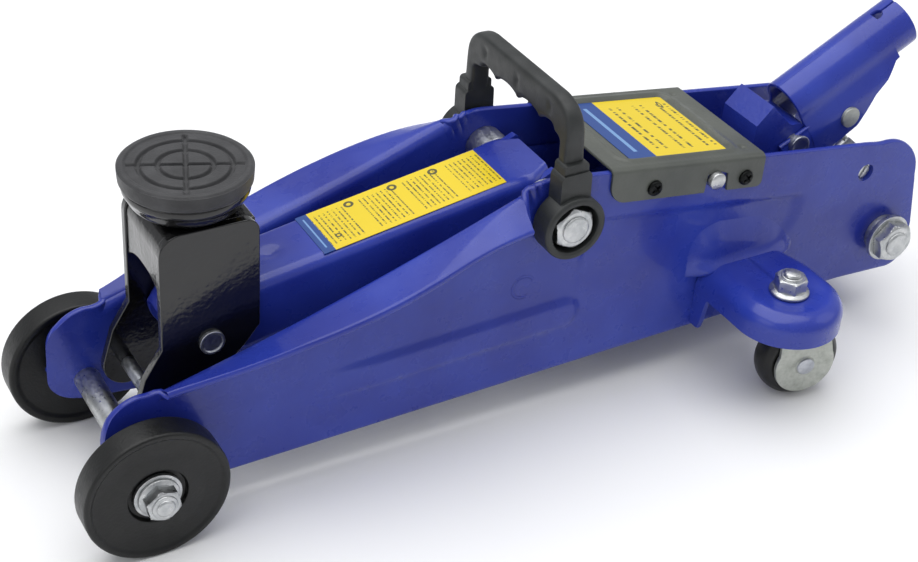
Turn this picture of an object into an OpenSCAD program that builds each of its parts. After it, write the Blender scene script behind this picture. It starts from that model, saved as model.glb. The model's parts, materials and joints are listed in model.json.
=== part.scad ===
// Small hydraulic trolley jack: two pressed side plates carry a lift arm, a ram and its pump, and a saddle.
// Lengths are in millimetres. X runs from the front axle to the handle end, Z is up, Y is across.
// Places are counted from the front axle and the floor; on_frame() moves them to the middle of the jack.

/* [Frame] */
// Distance from the front axle to the arm pivot
pivot_x = 185.5; // [175:0.5:210]
// Height of the arm pivot above the floor
pivot_z = 101.8; // [98:0.2:112]
// Distance from the front axle to the rear edge of the side plates
frame_rear_x = 394; // [390:1:440]
// Clear width between the side plates
inner_w = 61; // [58:0.5:80]
// Thickness of the side plates
plate_t = 3; // [2.5:0.1:4]
// How far the bent top flange stands out from the side plate at its widest
flange_out = 19.5; // [12:0.5:22]

/* [Front wheels] */
// Radius of the front wheels
wheel_r = 30; // [26:0.5:34]
// Width of the front wheels
wheel_w = 12.5; // [10:0.5:18]
// Radius of the front axle
axle_r = 5.5; // [4:0.1:6.5]

/* [Lift arm] */
// Distance from the arm pivot forwards to the saddle bracket pin
arm_reach = 150; // [140:0.5:155]
// Drop from the arm pivot to the saddle bracket pin
arm_drop = 29.2; // [24:0.2:32]
// Thickness of the arm's pressed steel
arm_t = 3.2; // [2.5:0.1:4]
// Width of the arm at the saddle bracket
arm_front_w = 31.8; // [28:0.2:36]
// Width of the arm at its pivot
arm_rear_w = 36; // [32:0.5:38]
// Radius of the arm pivot shaft
shaft_r = 6; // [5:0.1:7]
// Radius of the circle that the crank pin swings on
crank_r = 38; // [34:0.5:40]
// Radius of the crank pin
crank_pin_r = 5; // [4:0.1:6]

/* [Saddle] */
// Height of the lowered saddle pad above the floor
saddle_z = 143.3; // [140:0.1:160]
// Radius of the saddle pad
saddle_r = 26.2; // [22:0.2:30]
// Thickness of the bracket's cheeks
cheek_t = 4; // [3:0.1:5]
// Radius of the pin between bracket and arm
front_pin_r = 5.3; // [4:0.1:6]
// Radius of the pin in the bracket's lower ears
link_pin_r = 3; // [2.5:0.1:4]

/* [Hydraulics] */
// Outer radius of the oil tank
tank_r = 25; // [22:0.5:27]
// Radius of the ram
ram_r = 9; // [7:0.5:11]
// Radius of the piston
piston_r = 13; // [11:0.5:14]
// Radius of the pump plunger
plunger_r = 4.5; // [3.5:0.1:5]

/* [Handle socket] */
// Inner radius of the socket, which takes the jack handle
socket_bore_r = 10.2; // [9:0.1:11]
// Wall of the socket tube
socket_t = 2; // [1.5:0.1:2.5]
// Length of the closed part of the socket tube
socket_tube_l = 38.6; // [30:0.2:50]
// Angle of the socket above the horizontal
socket_angle = 28.4; // [20:0.2:40]

/* [Casters] */
// Radius of the caster wheels
caster_r = 19.5; // [17:0.5:20]
// Width of the caster wheels
caster_w = 14; // [11:0.5:15]
// Distance that the caster wheel trails behind its stud
caster_trail = 10; // [7:0.5:12]
// Angle that the casters stand turned outwards
caster_yaw = 11.3; // [0:0.1:20]

/* [Carry handle] */
// Height of the carry handle above the arm pivot
handle_h = 55; // [50:1:70]
// Angle that the carry handle leans forwards
handle_lean = 1.5; // [0:0.5:6]

/* [Hidden] */
$fn = 64;

// Colours
blue = "#3c44a4";
black = "#232425";
zinc = "#b5b7b8";
grey = "#5f625d";
plastic = "#4a4c4c";
rubber = "#2c2c2e";
yellow = "#f0d71c";
fork_grey = "#a8aba4";

// Clearances
run_gap = 0.05;
side_gap = 0.4;
eps = 0.01;

// Side plates
in_y = inner_w / 2;
out_y = in_y + plate_t;

// Main places, as [x, z]
pivot = [pivot_x, pivot_z];
front_pin = [pivot_x - arm_reach, pivot_z - arm_drop];
link_pin_at = front_pin + [-22, -28.6];
rod_pin = pivot + link_pin_at - front_pin;
crank_angle = 30;
crank = pivot + crank_r * [sin(crank_angle), -cos(crank_angle)];
rear_bolt = [frame_rear_x - 20, 45.5];
rear_bolt_r = 6;
cover_bolt = [265.4, 100.7];
cover_bolt_r = 4;
tie_hole = [frame_rear_x - 38, 82.5];
tie_hole_r = 4.4;
anchor = [296, 33];
anchor_r = 3;

// Top edge of the side plates: a rising front half and a falling rear half
front_edge_z = 60.35;
front_edge_slope = 0.3317;
rear_edge_z = 142;
rear_edge_slope = -0.126;
edge_angle = atan(front_edge_slope);
cover_angle = atan(rear_edge_slope);
function front_edge(x) = front_edge_z + front_edge_slope * x;
function rear_edge(x) = rear_edge_z + rear_edge_slope * x;
crest_x = (rear_edge_z - front_edge_z) / (front_edge_slope - rear_edge_slope);
flange_front_x = 8;
flange_back_x = 163;
flange_l = (flange_back_x - flange_front_x) / cos(edge_angle);

// Front wheels and axle
wheel_in_y = out_y + 6.5;
wheel_out_y = wheel_in_y + wheel_w;
hub_recess = 3;
washer_t = 1.8;
axle_end_r = 4;
axle_nut_h = 7;

// Lift arm
arm_top_slope = 0.169;
arm_top_z = pivot_z + 12.05;
arm_top_back = 5.8;
function arm_top(x) = arm_top_z + arm_top_slope * (x - pivot_x - arm_top_back);
arm_nose_r = 13;
arm_boss_r = 13;
lobe_r = 9;
spring_tab = crank + [4, -15];

// Saddle bracket and saddle
cheek_in = arm_front_w / 2 + 0.5;
cheek_out = cheek_in + cheek_t;
bracket_top = saddle_z - 18.3;
bracket_front = front_pin[0] - 20.5;
bracket_back = front_pin[0] + 20.8;
bracket_round = 9;
ear_r = 10.5;
saddle_x = front_pin[0] - 1;
spigot_r = 8;
pad_h = 7.3;
pad_rim = 1.8;
rod_t = 3;
rod_y = cheek_out + 0.9;

// Hydraulic unit
ram_z = 66;
tank_front = crank[0] + 19.5;
tank_back = 300;
tank_wall = 2.5;
cyl_wall = 3;
gland_t = 6;
gland_front = tank_front - gland_t;
head_l = 18;
head_slot_gap = 0.5;
push_pin_r = 5;
socket_pin_r = 4.5;
socket_pin = [tank_back + 27.5, 94];
push_pin = socket_pin + [28.4, 9.1];
plunger_x = push_pin[0] + 0.6;
block_top = 76;
pump_top = 66;
block_w = 50;
block_back = rear_bolt[0] + 12;
cap_top = push_pin[1] - push_pin_r - 0.8;
cap_t = 3;
cap_r = 8;
spring_wire_r = 0.7;
valve_y = 9;
valve_r = 3.5;
valve_l = 10;
valve_seat = [block_back - 9.4, pump_top - 4.6];
valve_angle = 45;

// Handle socket: u runs up the tube and v square to it, from the middle of the tube's lower end
socket_r = socket_bore_r + socket_t;
socket_hood_l = 30;
socket_l = socket_hood_l + socket_tube_l;
socket_low = socket_pin + [2.2, 12.7];
hood_gap = 0.4;
socket_cheek_in = socket_r + 0.6;
socket_cheek_out = socket_cheek_in + 3;
ear_y = socket_cheek_in - 0.6;
rim_x = socket_low[0] + socket_l * cos(socket_angle) + socket_r * sin(socket_angle);

// Casters
stud = [tank_back - 10, out_y + 34];
stud_r = 4;
shelf_top = 55;
shelf_t = 2.5;
shelf_r = 25;
lip_z = 42.5;
fork_top = shelf_top - shelf_t - 1.8;
fork_t = 2;
fork_in = caster_w / 2 + 0.6;

// Carry handle
ring_r = 14.5;
ring_in = out_y + 1.5;
ring_out = ring_in + 12;
leg_out = ring_out - 4;
ring_web = 3;
ring_pocket_r = 11;
pivot_nut_in = ring_in + ring_web + 0.3;
pivot_nut_h = 8;
grip_h = 16;
leg_w = 10;
shoulder_w = 14.4;

// Cover plate
cover_t = 1.4;
cover_front = 210;
cover_back = 292;
cover_skirt = 14;
label_t = 0.3;
screw_x = [232.4, 282.1];
screw_drop = 8.4;
screw_r = 1.6;

// The jack's middle: halfway between the front of the wheels and the rear of the socket
mid_x = (rim_x - wheel_r) / 2;

module on_frame() translate([-mid_x, 0, 0]) children();
// A flat outline in X and Z, as thick as y1 - y0, standing from y0 to y1
module slab(y0, y1) translate([0, y1, 0]) rotate([90, 0, 0]) linear_extrude(y1 - y0) children();
// The same slab on both sides of the middle plane
module twin_slab(y0, y1) {
    slab(y0, y1) children();
    slab(-y1, -y0) children();
}
// A round bar across the frame at p = [x, z]
module bar(p, r, y0, y1) translate([p[0], y1, p[1]]) rotate([90, 0, 0]) cylinder(r = r, h = y1 - y0);
// A hexagon prism across the frame, af wide over its flats, with its outer corners taken off
module hex_bar(p, af, y0, y1) {
    translate([p[0], y1, p[1]]) rotate([90, 0, 0]) intersection() {
        cylinder(r = af / sqrt(3), h = y1 - y0, $fn = 6);
        cylinder(r = af * 0.56, h = y1 - y0);
    }
}
module both_sides() {
    children();
    mirror([0, 1, 0]) children();
}
module disc_at(p, r) translate(p) circle(r);

// Coil of wire round the Z axis, as a swept tube with six sides
function coil_point(t, r, turns, h) = [r * cos(360 * turns * t), r * sin(360 * turns * t), h * t];
module coil(r, wire, turns, h, steps = 12) {
    n = turns * steps;
    rings = [for (i = [0:n]) let (t = i / n, a = 360 * turns * t) [for (k = [0:5])
        coil_point(t, r, turns, h) + wire * [cos(60 * k) * cos(a), cos(60 * k) * sin(a), sin(60 * k)]]];
    points = [for (ring = rings) for (p = ring) p];
    sides = [for (i = [0:n - 1]) for (k = [0:5]) let (m = (k + 1) % 6)
        [i * 6 + k, (i + 1) * 6 + k, (i + 1) * 6 + m, i * 6 + m]];
    polyhedron(points, concat([[for (k = [0:5]) k]], sides, [[for (k = [5:-1:0]) n * 6 + k]]));
}

// Frame -------------------------------------------------------------------------------------------

// The flat sheet of one side plate, in X and Z
module plate_outline() {
    low_front = [-4, 20.5];
    difference() {
        union() {
            polygon([
                low_front, [38, 16.3], [frame_rear_x - 42, 24.6], [frame_rear_x - 10, 23.2], [frame_rear_x, 33],
                [frame_rear_x, 45], [frame_rear_x - 5, 76], [frame_rear_x - 40, rear_edge(frame_rear_x - 40)],
                [crest_x + 8, rear_edge(crest_x + 8)], [crest_x, rear_edge(crest_x) - 1.5],
                [crest_x - 10, front_edge(crest_x - 10)], [2, front_edge(2) + 2.5], [-15, 48], [-15, 31]
            ]);
            disc_at([-4, 31.5], 11);
            disc_at([2, 47.5], 17.2);
            disc_at([frame_rear_x - 27, 74.5], 22);
            disc_at([frame_rear_x - 10.6, 33.8], 10.6);
        }
        disc_at([0, wheel_r], axle_r);
        disc_at(pivot, shaft_r);
        disc_at(rear_bolt, rear_bolt_r);
        disc_at(cover_bolt, cover_bolt_r);
        disc_at(tie_hole, tie_hole_r);
        disc_at(rod_pin, shaft_r - 2);
        disc_at(anchor, anchor_r);
        for (x = screw_x) disc_at([x, rear_edge(x) - screw_drop], screw_r);
    }
}

// Plan of the flange bent out along the rising edge, as shares of its length and width: it is widest past its
// middle
module flange_outline() {
    widths = [[1, 0.65], [0.95, 0.71], [0.85, 0.82], [0.71, 0.97], [0.59, 1], [0.46, 0.93], [0.24, 0.65], [0, 0.23]];
    polygon(concat(
        [[0, in_y], [flange_l, in_y]],
        [for (share = widths) [share[0] * flange_l, out_y + share[1] * flange_out]]
    ));
}

module side_plate() {
    slab(in_y, out_y) plate_outline();
    translate([flange_front_x, 0, front_edge(flange_front_x)]) rotate([0, -edge_angle, 0])
        translate([0, 0, -plate_t]) linear_extrude(plate_t) flange_outline();
}

module side_plate_left() color(blue) on_frame() mirror([0, 1, 0]) side_plate();
module side_plate_right() color(blue) on_frame() side_plate();

module front_axle() color(zinc) on_frame() {
    end_y = wheel_out_y - hub_recess + side_gap;
    bar([0, wheel_r], axle_r, -end_y, end_y);
    both_sides() bar([0, wheel_r], axle_end_r, end_y, end_y + washer_t + axle_nut_h + 2);
}

module front_axle_washers() color(zinc) on_frame() both_sides() difference() {
    in = wheel_out_y - hub_recess + side_gap;
    bar([0, wheel_r], 10, in, in + washer_t);
    bar([0, wheel_r], axle_end_r, in - 1, in + washer_t + 1);
}

module front_axle_nuts() color(zinc) on_frame() both_sides() difference() {
    in = wheel_out_y - hub_recess + side_gap + washer_t;
    union() {
        hex_bar([0, wheel_r], 13, in, in + axle_nut_h);
        bar([0, wheel_r], 8.6, in, in + 1.4);
    }
    bar([0, wheel_r], axle_end_r, in - 1, in + axle_nut_h + 1);
}

// One front wheel: rim, dished face, hub recess for the nut, and an inner hub that keeps it off the plate
module front_wheel() {
    hub_in = out_y + side_gap;
    rim_t = 2.6;
    translate([0, 0, wheel_r]) rotate([-90, 0, 0]) rotate_extrude() polygon([
        [axle_r + run_gap, hub_in], [10, hub_in], [10, wheel_in_y + 1.5], [wheel_r - rim_t - 1, wheel_in_y + 1.5],
        [wheel_r - rim_t, wheel_in_y], [wheel_r - 0.8, wheel_in_y], [wheel_r, wheel_in_y + 0.8],
        [wheel_r, wheel_out_y - 0.8], [wheel_r - 0.8, wheel_out_y], [wheel_r - rim_t, wheel_out_y],
        [wheel_r - rim_t - 1, wheel_out_y - 1], [12.5, wheel_out_y - 0.6], [11.5, wheel_out_y - hub_recess],
        [axle_r + run_gap, wheel_out_y - hub_recess]
    ]);
}

module front_wheel_left() color(black) on_frame() mirror([0, 1, 0]) front_wheel();
module front_wheel_right() color(black) on_frame() front_wheel();

module rear_tie_bolt() color(zinc) on_frame() bar(rear_bolt, rear_bolt_r, -out_y - 12.5, out_y + 12.5);

module rear_bolt_washers() color(zinc) on_frame() both_sides() difference() {
    bar(rear_bolt, 13, out_y, out_y + 2.5);
    bar(rear_bolt, rear_bolt_r, out_y - 1, out_y + 3.5);
}

module rear_bolt_nuts() color(zinc) on_frame() both_sides() difference() {
    hex_bar(rear_bolt, 18, out_y + 2.5, out_y + 11.5);
    bar(rear_bolt, rear_bolt_r, out_y + 1, out_y + 13);
}

module cover_tie_bolt() color(zinc) on_frame() {
    bar(cover_bolt, cover_bolt_r, -out_y - 4.5, out_y + 4.5);
}

module arm_pivot_shaft() color(zinc) on_frame() {
    end_y = pivot_nut_in + pivot_nut_h + 0.8;
    bar(pivot, shaft_r, -end_y, end_y);
}

module arm_pivot_nuts() color(zinc) on_frame() both_sides() difference() {
    hex_bar(pivot, 17, pivot_nut_in, pivot_nut_in + pivot_nut_h);
    bar(pivot, shaft_r, pivot_nut_in - 1, pivot_nut_in + pivot_nut_h + 1);
}

module pivot_spacers() color(zinc) on_frame() both_sides() difference() {
    bar(pivot, shaft_r + 3, arm_rear_w / 2 + side_gap, in_y);
    bar(pivot, shaft_r, arm_rear_w / 2, in_y + 1);
}

module radius_rod_pins() color(zinc) on_frame() both_sides() {
    bar(rod_pin, shaft_r - 2, rod_y - 0.7, out_y);
    bar(rod_pin, shaft_r + 0.5, rod_y + rod_t + side_gap, in_y);
}

module spring_anchor() color(zinc) on_frame() bar(anchor, anchor_r, -out_y, out_y);

// Two tension springs from the arm's lobes back to the anchor bar: a rod for the coil, a wire at each end
module return_springs() color(zinc) on_frame() both_sides() {
    wire = 0.8;
    hook = 1.1;
    coil_z = 40;
    coil_y = 21;
    front = spring_tab[0] + 9;
    back = anchor[0] - 9;
    tab_y = arm_rear_w / 2 + 1.2;
    ring = anchor_r + wire + 0.4;
    translate([front, coil_y, coil_z]) rotate([0, 90, 0]) cylinder(r = 4, h = back - front);
    wire_between([front + 1, coil_y, coil_z], [spring_tab[0], tab_y, spring_tab[1]], wire);
    bar(spring_tab, hook, tab_y - arm_t - 3, tab_y + hook);
    wire_between([back - 1, coil_y, coil_z], [anchor[0], coil_y, anchor[1] + ring], wire);
    difference() {
        bar(anchor, ring + wire, coil_y - hook, coil_y + hook);
        bar(anchor, ring - wire, coil_y - 2 * hook, coil_y + 2 * hook);
    }
}

// A straight wire from one point to another
module wire_between(p, q, r) {
    v = q - p;
    translate(p) rotate([0, acos(v[2] / norm(v)), atan2(v[1], v[0])]) cylinder(r = r, h = norm(v));
}

// Cover and labels ----------------------------------------------------------------------------------

module cover_plate() color(grey) on_frame() {
    top_l = (cover_back - cover_front) / cos(cover_angle);
    skirt_y = out_y + cover_t;
    difference() {
        union() {
            translate([cover_front, 0, rear_edge(cover_front)]) rotate([0, -cover_angle, 0])
                translate([0, -skirt_y, 0]) cube([top_l, 2 * skirt_y, cover_t]);
            twin_slab(out_y, skirt_y) difference() {
                union() {
                    polygon([
                        [cover_front, rear_edge(cover_front)], [cover_back, rear_edge(cover_back)],
                        [cover_back, rear_edge(cover_back) - cover_skirt + 3],
                        [cover_back - 3, rear_edge(cover_back) - cover_skirt],
                        [cover_front + 8, rear_edge(cover_front) - cover_skirt - 1],
                        [cover_front + 2, rear_edge(cover_front) - cover_skirt + 6]
                    ]);
                    disc_at([cover_front + 8.5, rear_edge(cover_front) - cover_skirt + 6.5], 7.2);
                }
                disc_at(cover_bolt, 6.4);
                translate([cover_bolt[0] - 6.4, cover_bolt[1] - 20]) square([12.8, 20]);
                for (x = screw_x) disc_at([x, rear_edge(x) - screw_drop], screw_r);
            }
        }
        cover_slope() translate([14, -label_half(), -cover_t + 0.8]) cube([label_l(), 2 * label_half(), cover_t]);
    }
}

function label_l() = cover_back - cover_front - 25;
function label_half() = out_y - 5;
// Moves to the cover's front edge, on its sloping top face
module cover_slope() translate([cover_front, 0, rear_edge(cover_front)]) rotate([0, -cover_angle, 0])
    translate([0, 0, cover_t]) children();

module cover_label() color(yellow) on_frame() cover_slope()
    translate([14.5, -label_half() + 0.5, -cover_t + 0.8]) cube([label_l() - 1, 2 * label_half() - 1, label_t]);

module cover_screws() color(black) on_frame() both_sides() for (x = screw_x) {
    at = [x, rear_edge(x) - screw_drop];
    bar(at, screw_r, in_y - 2, out_y + cover_t);
    bar(at, 3.6, out_y + cover_t, out_y + cover_t + 1.9);
}

// Hydraulic unit ------------------------------------------------------------------------------------

// A round bar along the frame, on the ram's axis
module ram_bar(r, x0, x1) translate([x0, 0, ram_z]) rotate([0, 90, 0]) cylinder(r = r, h = x1 - x0);

module pump_block() color(blue) on_frame() difference() {
    union() {
        slab(-block_w / 2, block_w / 2) polygon([
            [tank_back, 40], [tank_back, block_top], [socket_pin[0] + 11, block_top], [socket_pin[0] + 14, pump_top],
            [block_back - 14, pump_top], [block_back, pump_top - 14], [block_back, 36], [socket_pin[0], 36]
        ]);
        slab(-ear_y, ear_y) {
            disc_at(socket_pin, 9.5);
            polygon([
                [tank_back + 2, block_top - 1], [tank_back + 4, 107], [tank_back + 12, 115.5],
                [tank_back + 23, 104.5], [socket_pin[0] + 9, 96], [socket_pin[0] + 9.4, block_top - 1]
            ]);
        }
        bar(rear_bolt, 9.5, -in_y, in_y);
    }
    bar(rear_bolt, rear_bolt_r, -in_y - 1, in_y + 1);
    bar(socket_pin, socket_pin_r, -ear_y - 1, ear_y + 1);
    translate([plunger_x, 0, 40]) cylinder(r = plunger_r + run_gap, h = 40);
    valve_axis() translate([0, 0, -valve_l - side_gap]) cylinder(r = valve_r + run_gap, h = 30);
    translate([tank_back + 20, block_w / 2 - 8, 56]) rotate([-90, 0, 0]) cylinder(r = 4, h = 20);
}

// Moves to the valve's seat, with Z along its spindle
module valve_axis() translate([valve_seat[0], valve_y, valve_seat[1]]) rotate([0, valve_angle, 0]) children();

module release_valve() color(zinc) on_frame() valve_axis() difference() {
    union() {
        translate([0, 0, -valve_l]) cylinder(r = valve_r, h = valve_l + 5);
        translate([0, 0, 3]) cylinder(r = 5, h = 10);
    }
    translate([-6, -0.9, 10]) cube([12, 1.8, 4]);
}

module tank_tube() color(blue) on_frame() difference() {
    ram_bar(tank_r, tank_front, tank_back);
    ram_bar(tank_r - tank_wall, tank_front - 1, tank_back + 1);
    translate([tank_front + 24, 0, ram_z]) cylinder(r = 4, h = tank_r + 1);
}

module cylinder_tube() color(zinc) on_frame() difference() {
    ram_bar(piston_r + cyl_wall, tank_front, tank_back);
    ram_bar(piston_r + run_gap, tank_front - 1, tank_back + 1);
}

module cylinder_gland() color(zinc) on_frame() difference() {
    union() {
        ram_bar(tank_r, gland_front, tank_front);
        ram_bar(ram_r + 4.5, gland_front - 2.5, gland_front);
    }
    ram_bar(ram_r + run_gap, gland_front - 4, tank_front + 1);
}

module filler_plug() color(rubber) on_frame() translate([tank_front + 24, 0, ram_z]) {
    translate([0, 0, tank_r - 4]) cylinder(r = 4, h = 5);
    translate([0, 0, tank_r + 0.4]) cylinder(r = 5.5, h = 2);
}

module safety_valve_plug() color(zinc) on_frame() translate([tank_back + 20, block_w / 2, 56]) rotate([-90, 0, 0]) {
    translate([0, 0, -8]) cylinder(r = 4, h = 8);
    cylinder(r = 5, h = 3, $fn = 6);
}

module pump_gland_nut() color(zinc) on_frame() translate([plunger_x, 0, pump_top]) difference() {
    cylinder(r = 5.8, h = 6, $fn = 6);
    translate([0, 0, -1]) cylinder(r = plunger_r + run_gap, h = 10);
}

module plunger_spring() color(zinc) on_frame()
    translate([plunger_x, 0, pump_top + spring_wire_r]) coil(6.7, spring_wire_r, 6,
        cap_top - cap_t - pump_top - 2 * spring_wire_r, 14);

module pump_plunger() color(zinc) on_frame()
    translate([plunger_x, 0, 60]) cylinder(r = plunger_r, h = cap_top - cap_t - 60);

module plunger_cap() color(zinc) on_frame()
    translate([plunger_x, 0, cap_top - cap_t]) cylinder(r = cap_r, h = cap_t);

module ram_rod() color(zinc) on_frame() {
    ram_bar(ram_r, crank[0] + head_l / 2, tank_back - 20);
    ram_bar(piston_r, tank_back - 20, tank_back - 8);
}

// The ram's head: the crank pin rides up and down in its slot
module ram_head() color(zinc) on_frame() {
    gap = crank_pin_r + head_slot_gap;
    swing = crank_r * (1 - cos(crank_angle));
    slab(-9, 9) difference() {
        translate([crank[0] - head_l / 2, ram_z - 16]) square([head_l, 30]);
        translate([crank[0], crank[1]]) circle(gap);
        translate([crank[0], crank[1] - swing]) circle(gap);
        translate([crank[0] - gap, crank[1] - swing]) square([2 * gap, swing]);
    }
}

// Lift arm and saddle -------------------------------------------------------------------------------

// The arm's width in plan, less d on each side and longer by more at both ends
module arm_plan(d, more) {
    front = front_pin[0] - arm_nose_r - 1 - more;
    back = crank[0] + lobe_r + 2 + more;
    narrow = arm_front_w / 2 - d;
    wide = arm_rear_w / 2 - d;
    polygon([
        [front, narrow], [front_pin[0] + 22, narrow], [pivot_x - 15, wide], [back, wide],
        [back, -wide], [pivot_x - 15, -wide], [front_pin[0] + 22, -narrow], [front, -narrow]
    ]);
}

// The arm's top line, from its nose to its rear end
module arm_side_outline() {
    back = pivot_x + arm_top_back;
    disc_at(front_pin, arm_nose_r);
    disc_at(pivot, arm_boss_r);
    disc_at(crank, lobe_r);
    disc_at(spring_tab, 4.5);
    polygon([
        front_pin + [4, -arm_nose_r + 0.7], pivot + [-14, -13], crank + [-lobe_r, 0], spring_tab + [-4.4, 0],
        spring_tab + [4.4, 0], crank + [lobe_r - 0.6, 2.5], pivot + [12.4, 4], [back, arm_top(back)],
        front_pin + [-2, arm_nose_r - 0.3]
    ]);
}

module lift_arm() color(blue) on_frame() difference() {
    intersection() {
        linear_extrude(200) arm_plan(0, 0);
        slab(-arm_rear_w, arm_rear_w) arm_side_outline();
    }
    intersection() {
        linear_extrude(200) arm_plan(arm_t, 10);
        slab(-arm_rear_w, arm_rear_w) polygon([
            [0, arm_top(0) - arm_t], [300, arm_top(300) - arm_t], [300, 0], [0, 0]
        ]);
    }
    bar(front_pin, front_pin_r + run_gap, -arm_rear_w, arm_rear_w);
    bar(pivot, shaft_r + run_gap, -arm_rear_w, arm_rear_w);
    bar(crank, crank_pin_r, -arm_rear_w, arm_rear_w);
    bar(spring_tab, 1.5, -arm_rear_w, arm_rear_w);
}

module crank_pin() color(zinc) on_frame() bar(crank, crank_pin_r, -arm_rear_w / 2 - 0.4, arm_rear_w / 2 + 0.4);

module arm_label() color(yellow) on_frame() translate([86, 0, arm_top(86)])
    rotate([0, -atan(arm_top_slope), 0]) translate([0, -14.5, 0]) cube([85, 29, label_t]);

// The bracket's cheek, in X and Z
module cheek_outline() {
    difference() {
        union() {
            polygon([
                [bracket_front, bracket_top - bracket_round], [bracket_front, front_pin[1] + 1],
                link_pin_at + [-ear_r + 0.6, 3.4], link_pin_at + [3, -ear_r + 0.5],
                [bracket_back - 6, front_pin[1] - 5.5], [bracket_back, front_pin[1] + 1],
                [bracket_back, bracket_top], [bracket_front + bracket_round, bracket_top]
            ]);
            disc_at(link_pin_at, ear_r);
            disc_at([bracket_front + bracket_round, bracket_top - bracket_round], bracket_round);
        }
        disc_at(front_pin, front_pin_r);
        disc_at(link_pin_at, link_pin_r);
    }
}

module saddle_bracket() color(black) on_frame() difference() {
    union() {
        twin_slab(cheek_in, cheek_out) cheek_outline();
        slab(-cheek_in, cheek_in) intersection() {
            cheek_outline();
            difference() {
                translate([bracket_front, bracket_top - 28]) square([bracket_back - bracket_front, 28]);
                translate([bracket_front + bracket_round, bracket_top - bracket_round]) circle(bracket_round - cheek_t);
                translate([bracket_front + cheek_t, 0]) square([100, bracket_top - bracket_round]);
                translate([bracket_front + bracket_round, 0]) square([100, bracket_top - cheek_t]);
            }
        }
    }
    translate([saddle_x, 0, bracket_top - 20]) cylinder(r = spigot_r + run_gap, h = 40);
}

module arm_front_pin() color(zinc) on_frame() {
    bar(front_pin, front_pin_r, -cheek_out - 1.5, cheek_out + 1.5);
}

module link_pin() color(zinc) on_frame() {
    end_y = rod_y + rod_t + side_gap;
    bar(link_pin_at, link_pin_r, -end_y, end_y);
    both_sides() bar(link_pin_at, link_pin_r + 1.8, end_y, end_y + 1.5);
}

// One radius rod: a flat bar from the frame to the bracket's ear
module radius_rod() slab(rod_y, rod_y + rod_t) {
    along = (rod_pin - link_pin_at) / norm(rod_pin - link_pin_at);
    side = [-along[1], along[0]];
    difference() {
        union() {
            disc_at(link_pin_at, 6.5);
            disc_at(rod_pin, 8);
            polygon([
                link_pin_at + along - 5 * side, rod_pin - along - 5 * side,
                rod_pin - along + 5 * side, link_pin_at + along + 5 * side
            ]);
        }
        disc_at(link_pin_at, link_pin_r + run_gap);
        disc_at(rod_pin, shaft_r - 2 + run_gap);
    }
}

module radius_rod_left() color(black) on_frame() mirror([0, 1, 0]) radius_rod();
module radius_rod_right() color(black) on_frame() radius_rod();

module saddle_cup() color(black) on_frame() translate([saddle_x, 0, 0]) rotate_extrude() polygon([
    [0, bracket_top - 13], [spigot_r - 1, bracket_top - 13], [spigot_r, bracket_top - 12],
    [spigot_r, bracket_top + side_gap], [saddle_r - 6.5, bracket_top + side_gap], [saddle_r - 3, bracket_top + 6],
    [saddle_r - 1.4, saddle_z - pad_h - 3], [saddle_r - 1.4, saddle_z - pad_h], [0, saddle_z - pad_h]
]);

// The rubber pad: a raised rim, two ring grooves and a cross groove
module saddle_pad() color(rubber) on_frame() translate([saddle_x, 0, 0]) {
    groove_d = 1.2;
    groove_w = 1.6;
    field = saddle_z - 0.7;
    difference() {
        rotate_extrude() polygon([
            [0, saddle_z - pad_h], [saddle_r - 1, saddle_z - pad_h], [saddle_r, saddle_z - pad_h + 1],
            [saddle_r, saddle_z - 0.5], [saddle_r - 0.5, saddle_z], [saddle_r - pad_rim, saddle_z],
            [saddle_r - pad_rim, field], [0, field]
        ]);
        for (r = [saddle_r * 0.39, saddle_r * 0.68]) translate([0, 0, field - groove_d]) difference() {
            cylinder(r = r + groove_w / 2, h = 3);
            translate([0, 0, -1]) cylinder(r = r - groove_w / 2, h = 5);
        }
        for (a = [0, 90]) rotate([0, 0, a]) translate([pad_rim - saddle_r, -groove_w / 2, field - groove_d])
            cube([2 * (saddle_r - pad_rim), groove_w, 3]);
    }
}

// Handle socket -------------------------------------------------------------------------------------

// Moves to the tube's lower end, with Z up the tube and X square to it, downwards
module up_tube() translate([socket_low[0], 0, socket_low[1]]) rotate([0, 90 - socket_angle, 0]) children();

module handle_socket() color(blue) on_frame() difference() {
    union() {
        up_tube() difference() {
            cylinder(r = socket_r, h = socket_l);
            translate([0, 0, -1]) cylinder(r = socket_bore_r, h = socket_l + 2);
            translate([0, 0, -1]) cylinder(r = socket_bore_r + hood_gap, h = socket_hood_l + 1);
            translate([0, -socket_r - 1, -1]) cube([socket_r + 1, 2 * socket_r + 2, socket_hood_l + 1]);
        }
        twin_slab(socket_cheek_in, socket_cheek_out) difference() {
            union() {
                polygon([
                    socket_pin + [-18, -7], socket_pin + [-18, 10.4], socket_pin + [-8, 17],
                    socket_low + [20, 10.5], socket_low + [50, 26.5], push_pin + [18, 19], push_pin + [8.4, -2],
                    push_pin + [-6, -13], socket_pin + [0, -10.5], socket_pin + [-13, -10.5]
                ]);
                disc_at(socket_pin + [-12, -4.5], 6);
                disc_at(push_pin, 8.4);
            }
            disc_at(socket_pin, socket_pin_r + run_gap);
            disc_at(push_pin, push_pin_r);
        }
        both_sides() intersection() {
            up_tube() translate([-0.8, 0, 0]) cube([1.6, socket_cheek_in + eps, socket_l - 14]);
            translate([0, socket_r - 0.6, 0]) cube([1000, 20, 300]);
        }
    }
    up_tube() translate([-socket_r - 2, -0.6, socket_l - 11]) cube([socket_r, 1.2, 20]);
    up_tube() translate([0, 0, socket_l - 11]) rotate([0, -90, 0]) cylinder(r = 3.2, h = socket_r + 2);
}

module socket_pivot_pin() color(zinc) on_frame() {
    end_y = socket_cheek_out + side_gap;
    bar(socket_pin, socket_pin_r, -end_y, end_y);
    both_sides() bar(socket_pin, socket_pin_r + 1, end_y, end_y + 1.5);
}

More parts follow.
